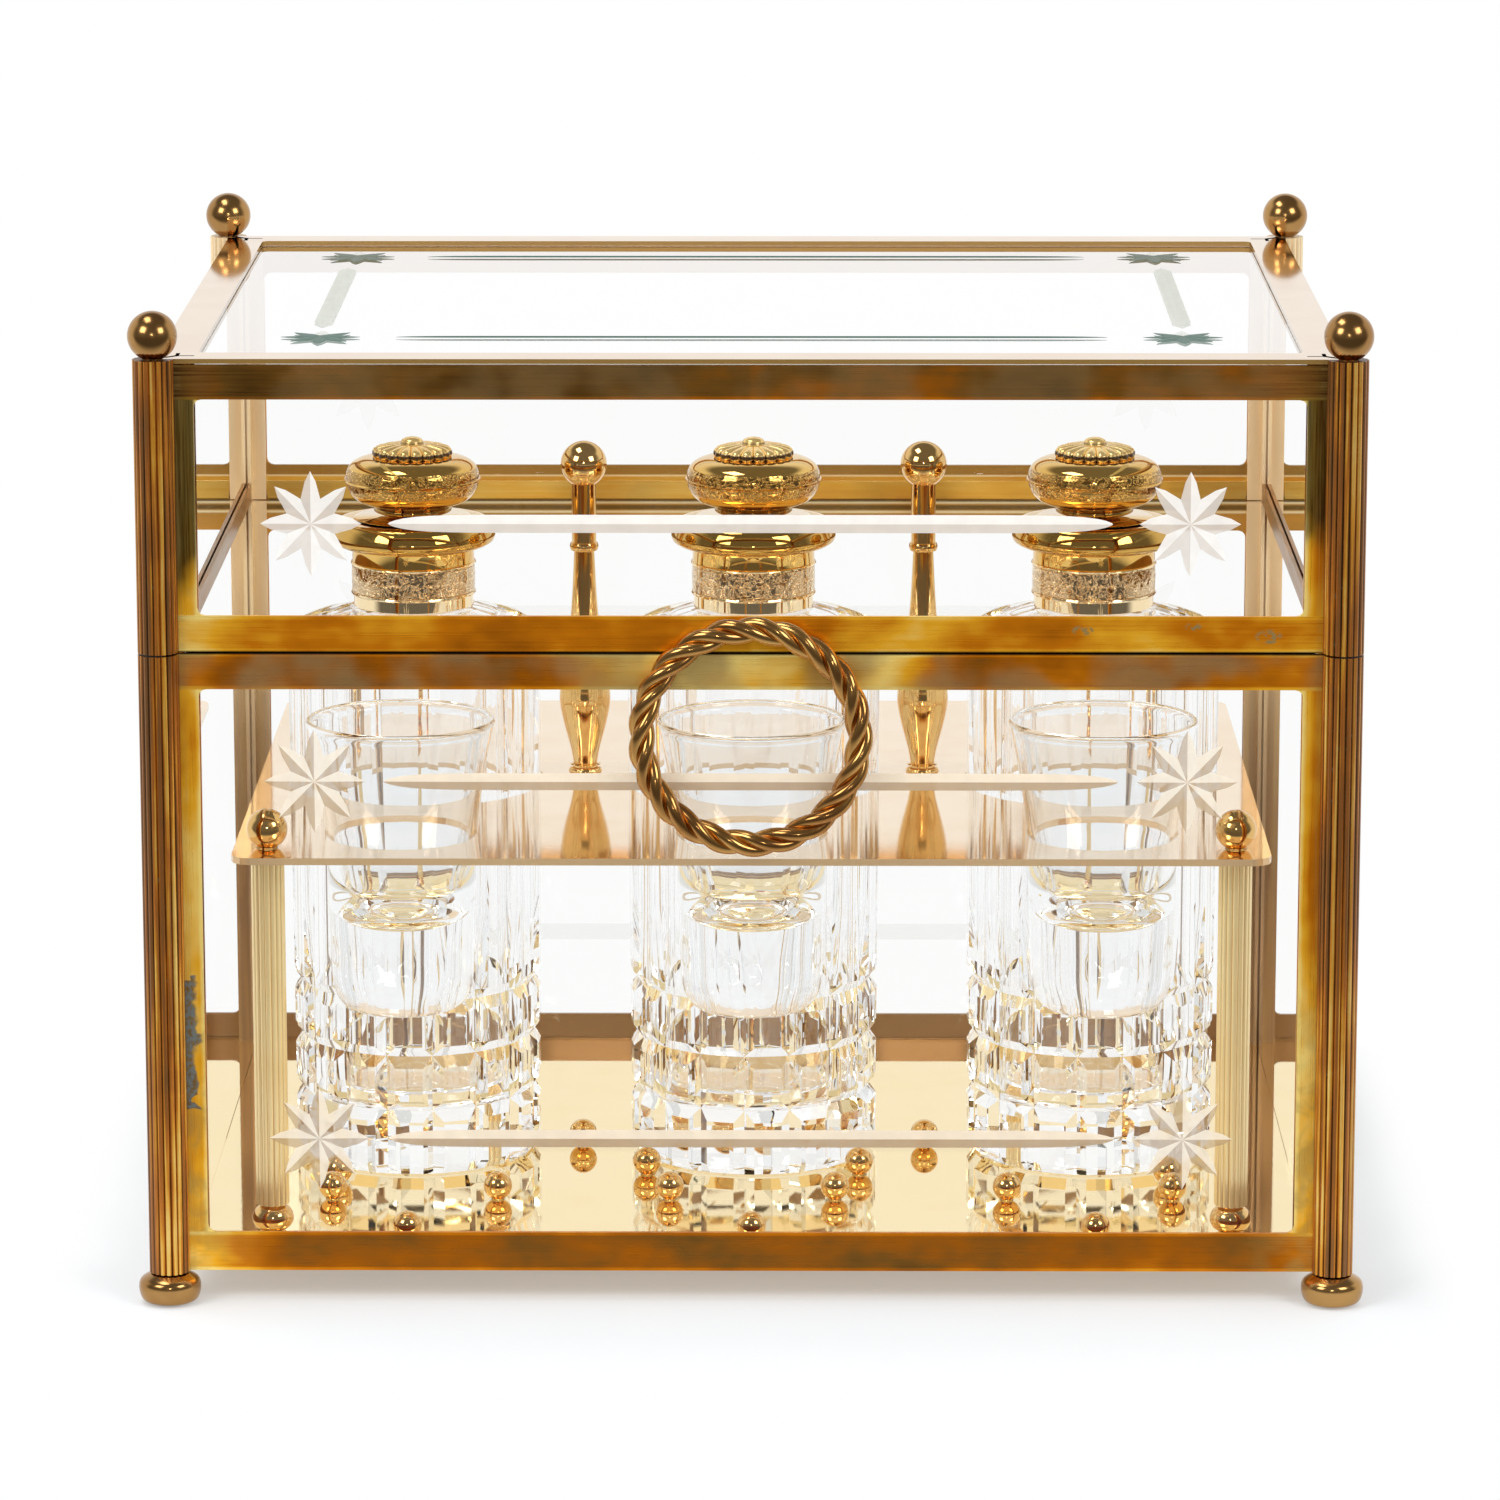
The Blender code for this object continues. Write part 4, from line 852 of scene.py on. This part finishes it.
def loft(rows, dim_side=None):
    """Skin over rows of four points, closed at both ends, with one side in the dim finish, painted shade."""
    points = [point for row in rows for point in row]
    faces, marks = [], []
    last = len(points) - 4
    for start in range(0, last, 4):
        for side in range(4):
            low, high = start + side, start + (side + 1) % 4
            faces.append((low, low + 4, high + 4, high))
            marks.append(1 if side == dim_side else 0)
    faces += [(0, 1, 2, 3), (last, last + 1, last + 2, last + 3)]
    return points, faces, marks + [0, 0]


def line_shape(half_length, half_width, depth):
    """Long lens with a ridge, in X and Y."""
    rows = []
    for step in range(LINE_STEPS + 1):
        x = -half_length * math.cos(math.pi * step / LINE_STEPS)
        share = max(1.0 - abs(x / half_length) ** 14.0, 0.0) ** 0.7
        width = half_width * share + 0.02
        rows.append([(x, -width, 0.0), (x, 0.0, depth * share + 0.01), (x, width, 0.0), (x, 0.0, BACKING)])
    return loft(rows, 0)


def capsule_shape(half_length, half_width, depth):
    """Short broad cut with round ends, along Y."""
    rows = []
    for step in range(CAPSULE_STEPS + 1):
        y = -half_length + 2 * half_length * step / CAPSULE_STEPS
        inset = max(abs(y) - (half_length - half_width), 0.0)
        width = max(half_width ** 2 - inset ** 2, 0.0) ** 0.5 + 0.02
        ridge = depth * width / half_width
        rows.append([(-width, y, 0.0), (0.0, y, ridge), (width, y, 0.0), (0.0, y, BACKING)])
    return loft(rows)


ON_WALL = {
    "front": lambda across, up, out: (across, -out, up),
    "back": lambda across, up, out: (-across, out, up),
    "right": lambda across, up, out: (out, across, up),
    "left": lambda across, up, out: (-out, -across, up),
    "top": lambda across, up, out: (across, up, out),
}


def cut_piece(name, shape, wall, place, tones, body):
    """Lay a flat cut on a wall's outer face, with a lit and a shaded finish for its facets: painted light and
    painted shade.
    """
    points, faces, marks = shape
    across, up, out = place
    laid = [ON_WALL[wall](across + x, up + y, out + z) for x, y, z in points]
    finishes = [facets[tone] for tone in tones]
    obj = make_piece(name, (laid, faces), finishes, body, (), 5.0)
    for face, mark in zip(obj.data.polygons, marks):
        face.material_index = mark


def engrave(wall, half, body, level, half_width, longer):
    """Two stars and a line on one pane."""
    long_wall = wall in ("front", "back")
    out = (POST_Y if long_wall else POST_X) - 1.8 + 0.07
    star_x, half_length = (STAR_X, 91.5 + longer) if long_wall else (76.0, 56.0 + longer)
    # Lit and shaded finishes: light and dim on the lid, cream and gold on the body, painted light and painted
    # shade of one cut.
    tones = ("light", "dim") if half == "lid" else ("cream", "gold")
    tones = tones if wall == "front" else ("faint", "faint")
    for hand, side in HANDS:
        name = "star_%s_%s_%s" % (half, wall, hand)
        cut_piece(name, star_shape(STAR_R, 0.5), wall, (side * star_x, level, out), tones, body)
    line = line_shape(half_length, half_width, 0.4)
    cut_piece("line_%s_%s" % (half, wall), line, wall, (0.0, level, out), tones, body)


def top_star():
    """Star of the lid's top, whose farther facets beside its middle line are pale."""
    points, faces, _ = star_shape(TOP_STAR_R, 0.4)
    middles = [[sum(points[i][axis] for i in face) / len(face) for axis in (0, 1)] for face in faces]
    return points, faces, [1 if abs(across) < 1.6 and ahead > 0.0 else 0 for across, ahead in middles]


for wall in WALLS:
    engrave(wall, "lid", "lid", 203.6, 2.30, 0.0)
    engrave(wall, "body_upper", "case", 137.0, 2.2, 2.0)
    engrave(wall, "body_lower", "case", 43.0, 2.3, 2.0)
for level, y, tone in (("near", -70.0, "green"), ("far", 80.0, "grey")):
    for hand, side in HANDS:
        place = (side * STAR_X, y, TOP_GLASS)
        cut_piece("star_top_%s_%s" % (level, hand), top_star(), "top", place, (tone, "pale"), "lid")
    line = line_shape(91.5, 1.1, 0.3)
    cut_piece("line_top_" + level, line, "top", (0.0, y, TOP_GLASS), ("green", "green"), "lid")
for hand, side in HANDS:
    capsule = capsule_shape(54.0, 2.4, 0.3)
    cut_piece("line_top_side_" + hand, capsule, "top", (side * 112.0, 4.0, TOP_GLASS), ("pale", "pale"), "lid")
print("cut: stars and lines on all panes")

# %% [markdown]
# ## Studs on the mirror
# Small polished balls keep the glassware in its places. They stand on the mirror, and
# the mirror doubles them.

# %% Ball studs
STANDING_Z = 11.5
PITCH = 91.5
GLASS_Y = -71.0
DECANTER_Y = -5.0
STUD_PITCH = 89.7
STUD_R = 3.8
GLASS_STUDS = (25.4, GLASS_Y, (270.0, 30.0, 150.0))
DECANTER_STUDS = {
    -1: (43.0, DECANTER_Y, (0.0, 120.0, 240.0)), 0: (40.4, DECANTER_Y, (90.0, 225.0, 315.0)),
    1: (43.0, DECANTER_Y, (180.0, 300.0, 60.0)),
}


def stud_places():
    """Where the ball studs stand."""
    spots = []
    for _, side in PLACES:
        for radius, y, turns in (GLASS_STUDS, DECANTER_STUDS[side]):
            for angle in map(math.radians, turns):
                spots.append((side * STUD_PITCH + radius * math.cos(angle), y + radius * math.sin(angle)))
    return spots


def studs():
    """The brass plate under the mirror and all balls as one piece."""
    profile = [(0.0, 8.4), (1.6, 8.4)] + arc(STUD_R, STANDING_Z + STUD_R * 0.907, -64.0, 90.0, 14)
    shapes = [lathe(profile, 32, (x, y, 0.0)) for x, y in stud_places()]
    half_x, half_y = POST_X - 1.8, POST_Y - 1.8
    shapes.append(slab((-half_x, half_x), (-half_y, half_y), BODY_Z, BODY_Z + 0.8))
    make_piece("studs_and_base", joined(*shapes), inner_brass, "case", ("base_plate",), 50.0)


studs()
print("studs:", len(stud_places()))

# %% [markdown]
# ## The rack
# A polished plate on four reeded columns, lifted by two turned rods. Columns and rods
# are lathe work too; a ripple in the lathe's radius gives the columns their reeds.

# %% Rack columns and lifting rods
RACK_TOP_Z = 114.0
ON_RACK_Z = 114.3
SHAFT_R = 4.35
SHAFT_TOP = 100.4


def column_reeds(angle, radius, height):
    """Sixteen round reeds on the shaft."""
    if abs(radius - SHAFT_R) > 1e-6:
        return radius, height
    return radius - 0.35 + 0.35 * abs(math.cos(8.0 * angle)) ** 0.6, height


def rack_column(corner, side_x, side_y):
    """Ball foot, reeded shaft and ball nut."""
    foot_part = soft([(3.0, 0.0), (4.6, 1.0), (5.4, 3.0), (4.8, 5.2), (3.3, 6.6)], 6)
    profile = [(0.0, 0.0)] + foot_part + [(3.2, 7.1), (SHAFT_R, 7.1), (SHAFT_R, SHAFT_TOP)]
    profile += [(2.6, SHAFT_TOP), (2.6, 102.8)] + arc(5.3, 102.8 + 4.62, -60.0, 90.0, 16)
    shape = lathe(profile, 96, (side_x * COLUMN_X, side_y * COLUMN_Y, STANDING_Z), ripple=column_reeds)
    obj = make_piece("reeded_column_" + corner, shape, (inner_brass, column_brass), "rack",
                     ("rack_column_" + corner,), 50.0)
    for face in obj.data.polygons:
        face.material_index = 1 if 7.0 < face.center.z / MM - STANDING_Z < SHAFT_TOP + 0.2 else 0


def lifting_rod(hand, side):
    """Foot ring, baluster, stem, ring and ball."""
    profile = [(0.0, 0.0), (4.2, 0.0)] + soft([(4.2, 0.0), (4.6, 0.8), (4.2, 1.7)], 4)
    profile += [(3.4, 1.9), (3.4, 2.4), (4.2, 2.6)]
    profile += soft([(3.2, 2.9), (3.9, 7.0), (6.0, 15.0), (6.9, 20.9), (6.3, 27.0), (4.4, 38.0),
                     (3.45, 47.7), (2.75, 61.3)], 8)
    profile += [(3.3, 61.5)] + soft([(3.6, 61.6), (3.9, 62.6), (3.6, 63.7)], 4) + [(3.3, 63.8), (3.3, 79.6)]
    profile += arc(6.25, 85.1, -58.0, 90.0, 24)
    make_piece("turned_rod_" + hand, lathe(profile, 64, (side * PITCH / 2, 2.0, ON_RACK_Z)), inner_brass,
               "rack", ("lifting_rod_" + hand,), 50.0)


for corner, side_x, side_y in CORNERS:
    rack_column(corner, side_x, side_y)
for hand, side in HANDS:
    lifting_rod(hand, side)
print("rack: 4 columns, 2 rods")

# %% [markdown]
# ## Cut-glass decanters
# Upright V cuts part the wall into flat columns, and three rings of V cuts cross them
# near the foot. Where two cuts meet, their flanks meet in a mitre. The wall is a grid of
# points in which each point lies as deep as the deeper of its two cuts.

# %% Decanters
COLUMNS = 16
CUT_DEPTH = 2.1
CUT_HALF = 2.9
CUT_LEVELS = (18.0, 33.05, 48.1)
WALL_R = 34.0
WALL_H = 139.0
FLUTE_SHARE = 0.4
BORE_R = 25.5
FLOOR_H = 20.0
FIRST_CUT = {-1: -12.65, 0: -4.2, 1: -8.0}


def decanter_rows():
    """Heights of the wall's grid, with the ring cut's depth and the upright cuts' share there."""
    rows = [(2.9, 0.0, 1.0)]
    for level in CUT_LEVELS:
        rows += [(level - CUT_HALF, 0.0, 1.0), (level, CUT_DEPTH, 1.0), (level + CUT_HALF, 0.0, 1.0)]
    rows += [(58.0, 0.0, 0.8), (72.0, 0.0, FLUTE_SHARE), (WALL_H - 4.0, 0.0, FLUTE_SHARE)]
    return rows


def decanter_angles(turn):
    """Angles round the wall, with the upright cut's depth there: three for every column."""
    half = math.pi / COLUMNS
    edge = half - CUT_HALF / WALL_R
    angles = []
    for column in range(COLUMNS):
        middle = 2 * half * column + turn
        angles += [(middle - half, CUT_DEPTH), (middle - edge, 0.0), (middle + edge, 0.0)]
    return angles


def wall_faces(rows, angles):
    """Faces of the wall's grid; a cell that two cuts cross is parted along their mitre."""
    faces, count = [], len(angles)
    for row in range(len(rows) - 1):
        for step in range(count):
            after = (step + 1) % count
            a, b = row * count + step, row * count + after
            c, d = b + count, a + count
            deep_low, deep_high = rows[row][1] > 0, rows[row + 1][1] > 0
            deep_left, deep_right = angles[step][1] > 0, angles[after][1] > 0
            falling = (deep_low and deep_right) or (deep_high and deep_left)
            if ((deep_low and deep_left) or (deep_high and deep_right)) and not (deep_low and deep_right):
                faces += [(a, b, c), (a, c, d)]
            elif falling:
                faces += [(a, b, d), (b, c, d)]
            else:
                faces.append((a, b, c, d))
    return faces


def decanter_shape(turn):
    """Points and faces of one decanter about its axis, from its foot."""
    rows, angles, points = decanter_rows(), decanter_angles(turn), []

    def ring(height, radius_at):
        """Add a ring of points, and give their numbers."""
        for angle, upright in angles:
            radius = radius_at(upright)
            points.append((radius * math.cos(angle), radius * math.sin(angle), height))
        return list(range(len(points) - len(angles), len(points)))

    def skin(low, high):
        """Faces between two rings."""
        return [(a, b, d, c) for a, b, c, d in zip(low, low[1:] + low[:1], high, high[1:] + high[:1])]

    def cap(rim, height):
        """Close a ring with a point on the axis."""
        points.append((0.0, 0.0, height))
        return [(a, b, len(points) - 1) for a, b in zip(rim, rim[1:] + rim[:1])]

    wall = []
    for height, cut, share in rows:
        side = WALL_R - 0.8 * (1.0 - height / WALL_H)
        wall.append(ring(height, lambda upright: side - max(cut, upright * share)))
    faces, rings = wall_faces(rows, angles), wall[-1:]
    shoulder = soft([(34.0, WALL_H - 3.0), (33.4, 143.6), (31.2, 146.3), (28.0, 147.6), (24.0, 148.4),
                     (20.0, 149.7), (17.0, 150.6)], 5)
    for radius, height in shoulder:
        fade = max(1.0 - (height - WALL_H + 3.0) / 9.0, 0.0)
        rings.append(ring(height, lambda upright: radius - upright * fade * FLUTE_SHARE))
    inside = [(14.5, 150.8), (14.5, 167.3), (11.2, 167.3), (11.2, 148.5)]
    inside += soft([(11.2, 148.5), (BORE_R - 1.0, WALL_H + 5.0), (BORE_R, WALL_H)], 5)[1:-1]
    inside += soft([(BORE_R, WALL_H), (BORE_R, FLOOR_H + 8.0), (BORE_R - 1.5, FLOOR_H + 2.5),
                    (BORE_R - 6.0, FLOOR_H)], 5)
    rings += [ring(height, lambda _: radius) for radius, height in inside]
    for low, high in zip(rings, rings[1:]):
        faces += skin(low, high)
    faces += cap(rings[-1], FLOOR_H)
    under = wall[0]
    for radius, height in ((31.1, 0.3), (30.4, 0.0)):
        lower = ring(height, lambda _: radius)
        faces += skin(under, lower)
        under = lower
    return points, faces + cap(under, 0.0)


for place, side in PLACES:
    points, faces = decanter_shape(math.radians(-90.0 + FIRST_CUT[side] + 11.25))
    placed = [(side * PITCH + x, DECANTER_Y + y, STANDING_Z + z) for x, y, z in points]
    make_piece("crystal_decanter_" + place, (placed, faces), crystal, "decanter_%s_set" % place,
               ("decanter_" + place,), 20.0)
print("decanters:", COLUMNS, "columns,", len(CUT_LEVELS), "rings of cuts")

# %% [markdown]
# ## Gilt collars and stoppers
# Collar, stopper and rosette are turned and gilt. A ripple in the lathe's radius raises
# the scrolls of the engraved bands in low relief, and another parts the rosette's dish
# into petals round a knob.

# %% Collars and stoppers
COLLAR_Z = 162.6
COLLAR_BAND = (166.55, 173.45)
KNOB_R = 3.4


def scroll(angle, up, turns):
    """Relief of a leaf scroll: waves that lean over, from 0 to 1."""
    wave = math.sin(turns * angle + 2.4 * math.sin(math.tau * up))
    leaf = math.sin(2 * turns * angle + 1.0 + 3.0 * up)
    return max(0.0, 0.6 * wave + 0.4 * leaf) * math.sin(math.pi * min(max(up, 0.0), 1.0))


def engraved(levels, depth, turns):
    """A ripple that engraves the bands between pairs of levels."""
    def ripple(angle, radius, height):
        for low, high in levels:
            if low < height < high:
                return radius - depth * (1.0 - scroll(angle, (height - low) / (high - low), turns)), height
        return radius, height
    return ripple


def petals(angle, radius, height):
    """A ripple that parts a dish into eighteen petals."""
    if radius < KNOB_R:
        return radius, height
    ridge = abs(math.cos(9.0 * angle))
    share = (radius - KNOB_R) / 7.4
    valley = 1.0 - ridge ** 0.6
    lowered = 0.75 * (1.0 - ridge ** 0.35) * min(2.0 * share, 1.0) if height > 203.5 else -0.8 * valley
    return radius - 0.9 * share * valley, height - lowered


def collar_profile():
    """Band and flange round the neck, closed along the inside."""
    profile = [(14.8, COLLAR_Z), (16.1, COLLAR_Z), (16.1, 165.5), (16.6, 165.6), (16.8, 166.0)]
    profile += [(16.6, 166.4), (16.35, 166.5)]
    profile += [(16.6, 166.6 + (173.4 - 166.6) * step / 14) for step in range(15)]
    profile += [(16.35, 173.5), (16.6, 173.6), (16.8, 174.0), (16.6, 174.4), (16.4, 174.5), (16.4, 177.9)]
    profile += soft([(16.5, 178.2), (18.0, 178.4), (20.0, 178.9), (21.3, 179.7)], 5)
    profile += soft([(21.8, 180.2), (22.1, 181.2), (21.9, 182.4), (21.2, 184.3), (20.4, 185.4),
                     (19.4, 185.7)], 5)
    return profile + [(18.6, 185.8), (10.65, 185.5), (10.65, 180.0), (14.8, 180.0)]


def stopper_profile():
    """Shank, plate on the flange, neck, foot ring and cushion head."""
    profile = [(0.0, 168.9), (9.65, 168.9), (10.35, 185.9), (15.6, 185.95), (15.9, 186.15), (15.6, 186.4)]
    profile += [(6.8, 186.6), (6.3, 187.0), (6.3, 187.4)]
    profile += soft([(9.4, 187.5), (10.3, 187.9), (10.45, 188.6), (10.1, 189.3)], 4)
    profile += soft([(10.0, 189.5), (12.2, 189.9), (14.8, 191.0), (16.6, 192.7), (17.6, 194.6),
                     (18.0, 196.1)], 6)
    profile += [(18.25, 196.25), (18.25, 196.75), (18.0, 196.9)]
    profile += soft([(17.95, 197.0), (17.7, 198.7), (16.8, 200.4), (15.2, 201.6), (12.8, 202.4),
                     (10.0, 202.7)], 6)
    return profile + [(0.0, 202.8)]


def rosette_profile():
    """Dish round a knob."""
    profile = [(0.0, 202.4), (9.9, 202.4), (10.5, 202.7), (10.75, 203.3), (10.75, 204.1), (10.3, 204.9)]
    profile += [(9.3, 205.35), (7.6, 205.75), (5.4, 206.05), (3.6, 206.15), (3.2, 206.1), (3.1, 206.3)]
    return profile + [(3.0, 206.8), (2.6, 207.3), (1.8, 207.7), (0.9, 207.9), (0.0, 207.95)]


for place, side in PLACES:
    axis = (side * PITCH, DECANTER_Y, 0.0)
    scrolls = engraved([COLLAR_BAND], 0.10, 36)
    shape = lathe(collar_profile(), 180, axis, closed=True, ripple=scrolls)
    make_piece("gilt_collar_" + place, shape, gilding, "decanter_%s_set" % place,
               ("collar_" + place,), 40.0)
    shape = lathe(stopper_profile(), 180, axis, ripple=engraved(GILT_BANDS[2:], 0.07, 40))
    make_piece("gilt_stopper_" + place, shape, gilding, "stopper_%s_set" % place,
               ("stopper_" + place,), 40.0)
    shape = lathe(rosette_profile(), 216, axis, ripple=petals)
    make_piece("rosette_" + place, shape, rosette_gilding, "stopper_%s_set" % place, (), 40.0)
print("gilt: 3 collars, 3 stoppers, 3 rosettes")

# %% [markdown]
# ## Shot glasses
# A pressed glass with a thick base and a wall that flares above the rack. The rim is
# fire-polished: a small round bead.

# %% Shot glasses
GLASS_BELOW_RACK = 46.3


def shot_glass(place, x):
    """Outer side, bead and inner side in one profile."""
    outer = soft([(13.4, 0.0), (14.6, 0.3), (17.0, 2.7), (18.4, 7.4), (18.8, 16.0), (19.5, 40.0),
                  (19.7, 46.3), (21.5, 60.4), (24.2, 74.7)], 8)
    bead = [(24.65, 75.9), (24.6, 76.6), (24.1, 77.1), (23.4, 77.0), (22.9, 76.4), (22.7, 75.3)]
    inner = soft([(22.4, 73.5), (20.0, 59.5), (18.0, 46.3), (17.0, 38.0), (15.4, 31.0), (12.6, 25.4),
                  (8.6, 22.9), (4.0, 22.3)], 8)
    profile = [(0.0, 0.0)] + outer + bead + inner + [(0.0, 22.2)]
    shape = lathe(profile, 96, (x, GLASS_Y, RACK_TOP_Z - GLASS_BELOW_RACK))
    make_piece("drinking_glass_" + place, shape, drinking_glass, "shot_glass_%s_set" % place,
               ("shot_glass_" + place,), 60.0)


for place, side in PLACES:
    shot_glass(place, side * PITCH)
print("shot glasses: 3")

# %% [markdown]
# ## The twisted ring
# Three brass wires are laid into a rope and closed in a ring. Each wire is a tube whose
# middle line winds round the ring's own circle, seven times on its way round.

# %% Ring handle
RING_R, RING_Z, RING_OUT = 27.61, 149.7, 3.49
STRANDS, TWISTS = 3, 7
STRAND_R, STRAND_OFFSET = 1.68, 1.80
RING_STEPS, STRAND_SIDES = 336, 20


def strand_shape(strand):
    """One wire of the rope: a tube round its winding middle line."""
    centre = Vector((0.0, -POST_Y - RING_OUT, RING_Z))
    side = Vector((0.0, 1.0, 0.0))
    outwards, middle = [], []
    for step in range(RING_STEPS):
        turn = math.tau * step / RING_STEPS
        twist = TWISTS * turn + math.tau * strand / STRANDS
        outward = Vector((math.cos(turn), 0.0, math.sin(turn)))
        outwards.append(outward)
        reach = RING_R + STRAND_OFFSET * math.cos(twist)
        middle.append(centre + outward * reach + side * STRAND_OFFSET * math.sin(twist))
    points, faces = [], []
    for step, outward in enumerate(outwards):
        ahead = (middle[(step + 1) % RING_STEPS] - middle[step - 1]).normalized()
        first = (outward - ahead * outward.dot(ahead)).normalized()
        second = ahead.cross(first)
        here, there = step * STRAND_SIDES, ((step + 1) % RING_STEPS) * STRAND_SIDES
        for point in range(STRAND_SIDES):
            angle = math.tau * point / STRAND_SIDES
            rim = first * math.cos(angle) + second * math.sin(angle)
            points.append(tuple(middle[step] + STRAND_R * rim))
            after = (point + 1) % STRAND_SIDES
            faces.append((here + point, here + after, there + after, there + point))
    return points, faces


ring = joined(*(strand_shape(strand) for strand in range(STRANDS)))
make_piece("twisted_ring", ring, ring_brass, "lid", ("ring_handle",), 60.0)
print("ring:", STRANDS, "strands,", TWISTS, "turns each")

# %% [markdown]
# ## The studio
# A pale floor and a pale room, with a soft box above, a large one on either side in front
# and a small one near the camera. Metal seen from the front reflects the dark half of a
# studio, so the room and the floor are darker on the camera's side and overhead, but for
# glossy rays alone.

# %% Floor, world and lamps
FLOOR_HALF = 6.0
FLOOR_Z = -0.0002


def first_mirrors(paint):
    """1 for a glossy ray that has met few faces yet, and half of that where it went through glass."""
    early = 1.0 - paint.ray("Ray Depth").between(2.4, 2.6)
    return paint.ray("Is Glossy Ray") * early * (1.0 - paint.ray("Is Transmission Ray") * 0.5)


def add_floor():
    """A pale floor that keeps the shadow near the case and goes white far away."""
    mesh = bpy.data.meshes.new("floor")
    rim = [(x * FLOOR_HALF, y * FLOOR_HALF, 0.0) for x, y in ((-1, -1), (1, -1), (1, 1), (-1, 1))]
    mesh.from_pydata(rim, [], [(0, 1, 2, 3)])
    floor = add_object("floor", mesh)
    floor.location.z = FLOOR_Z
    paint = Paint("pale_floor")
    where = paint.place()
    x, y, _ = paint.parts(where)
    grain = paint.noise(where, 0.01, 2.0)
    matt = paint.principled(paint.mix(grain, (0.86, 0.91, 0.95), (0.88, 0.93, 0.97)), 0.7)
    far_out = (abs(x).between(160.0, 190.0) + abs(y).between(135.0, 200.0)).between(0.0, 1.0)
    before = (-y).between(110.0, 420.0) * first_mirrors(paint)
    tint = paint.mix(before, WHITE, (0.15, 0.14, 0.13))
    seen = paint.ray("Is Camera Ray") + paint.ray("Is Glossy Ray") + paint.ray("Is Transmission Ray")
    share = seen.between(0.0, 1.0) * (0.30 + far_out * 0.70) * (1.0 - before) + before
    mesh.materials.append(paint.done(paint.blend(share, matt, paint.glow(tint))))
    floor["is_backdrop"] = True
    return floor


def add_world():
    """White for what is seen, plain light for what is lit."""
    bpy.context.scene.world = bpy.data.worlds.new("studio")
    paint = Paint("studio", bpy.context.scene.world)
    _, y, z = paint.parts(paint.node("TexCoord", {}, {}, "Generated"))
    behind = 1.0 - y.between(-0.20, 0.25) * (1.0 - z.between(0.55, 0.75))
    seen = paint.ray("Is Camera Ray") + paint.ray("Is Transmission Ray") + paint.ray("Is Glossy Ray")
    dark = paint.mix(behind * first_mirrors(paint), WHITE, (0.20, 0.19, 0.18))
    plain = paint.node("Background", {}, {"Color": WHITE, "Strength": 0.80})
    bright = paint.node("Background", {}, {"Color": dark, "Strength": 1.0})
    paint.done(paint.blend(seen.between(0.0, 1.0), plain, bright), "World")


def add_lamp(name, place, target, size, power):
    """A rectangular soft box."""
    lamp = bpy.data.lights.new(name, "AREA")
    lamp.shape = "RECTANGLE"
    lamp.size, lamp.size_y = size
    lamp.energy = power
    obj = add_object(name, lamp)
    obj.location = place
    obj.rotation_euler = (Vector(target) - Vector(place)).to_track_quat("-Z", "Y").to_euler()


floor = add_floor()
add_world()
add_lamp("soft_box_above", (-0.45, -0.1, 1.4), (0.0, 0.0, 0.1), (0.6, 0.35), 4.0)
for hand, side in HANDS:
    add_lamp("soft_box_" + hand, (side * 1.15, -1.15, 1.15), (0.0, 0.0, 0.12), (0.7, 0.7), 9.0)
add_lamp("small_box_front", (0.0, -2.2, 0.75), (0.0, 0.0, 0.12), (0.12, 0.12), 2.0)
bpy.context.scene.view_settings.view_transform = "Standard"
print("studio: floor, world and 4 soft boxes")

# %% [markdown]
# ## Sizes
# The dressed model stays in the imported model's box. Its box is measured and printed in millimetres.

# %% Sizes and the last line
low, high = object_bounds()
print("box in mm:", [round(v / MM, 1) for v in (*low, *high)])
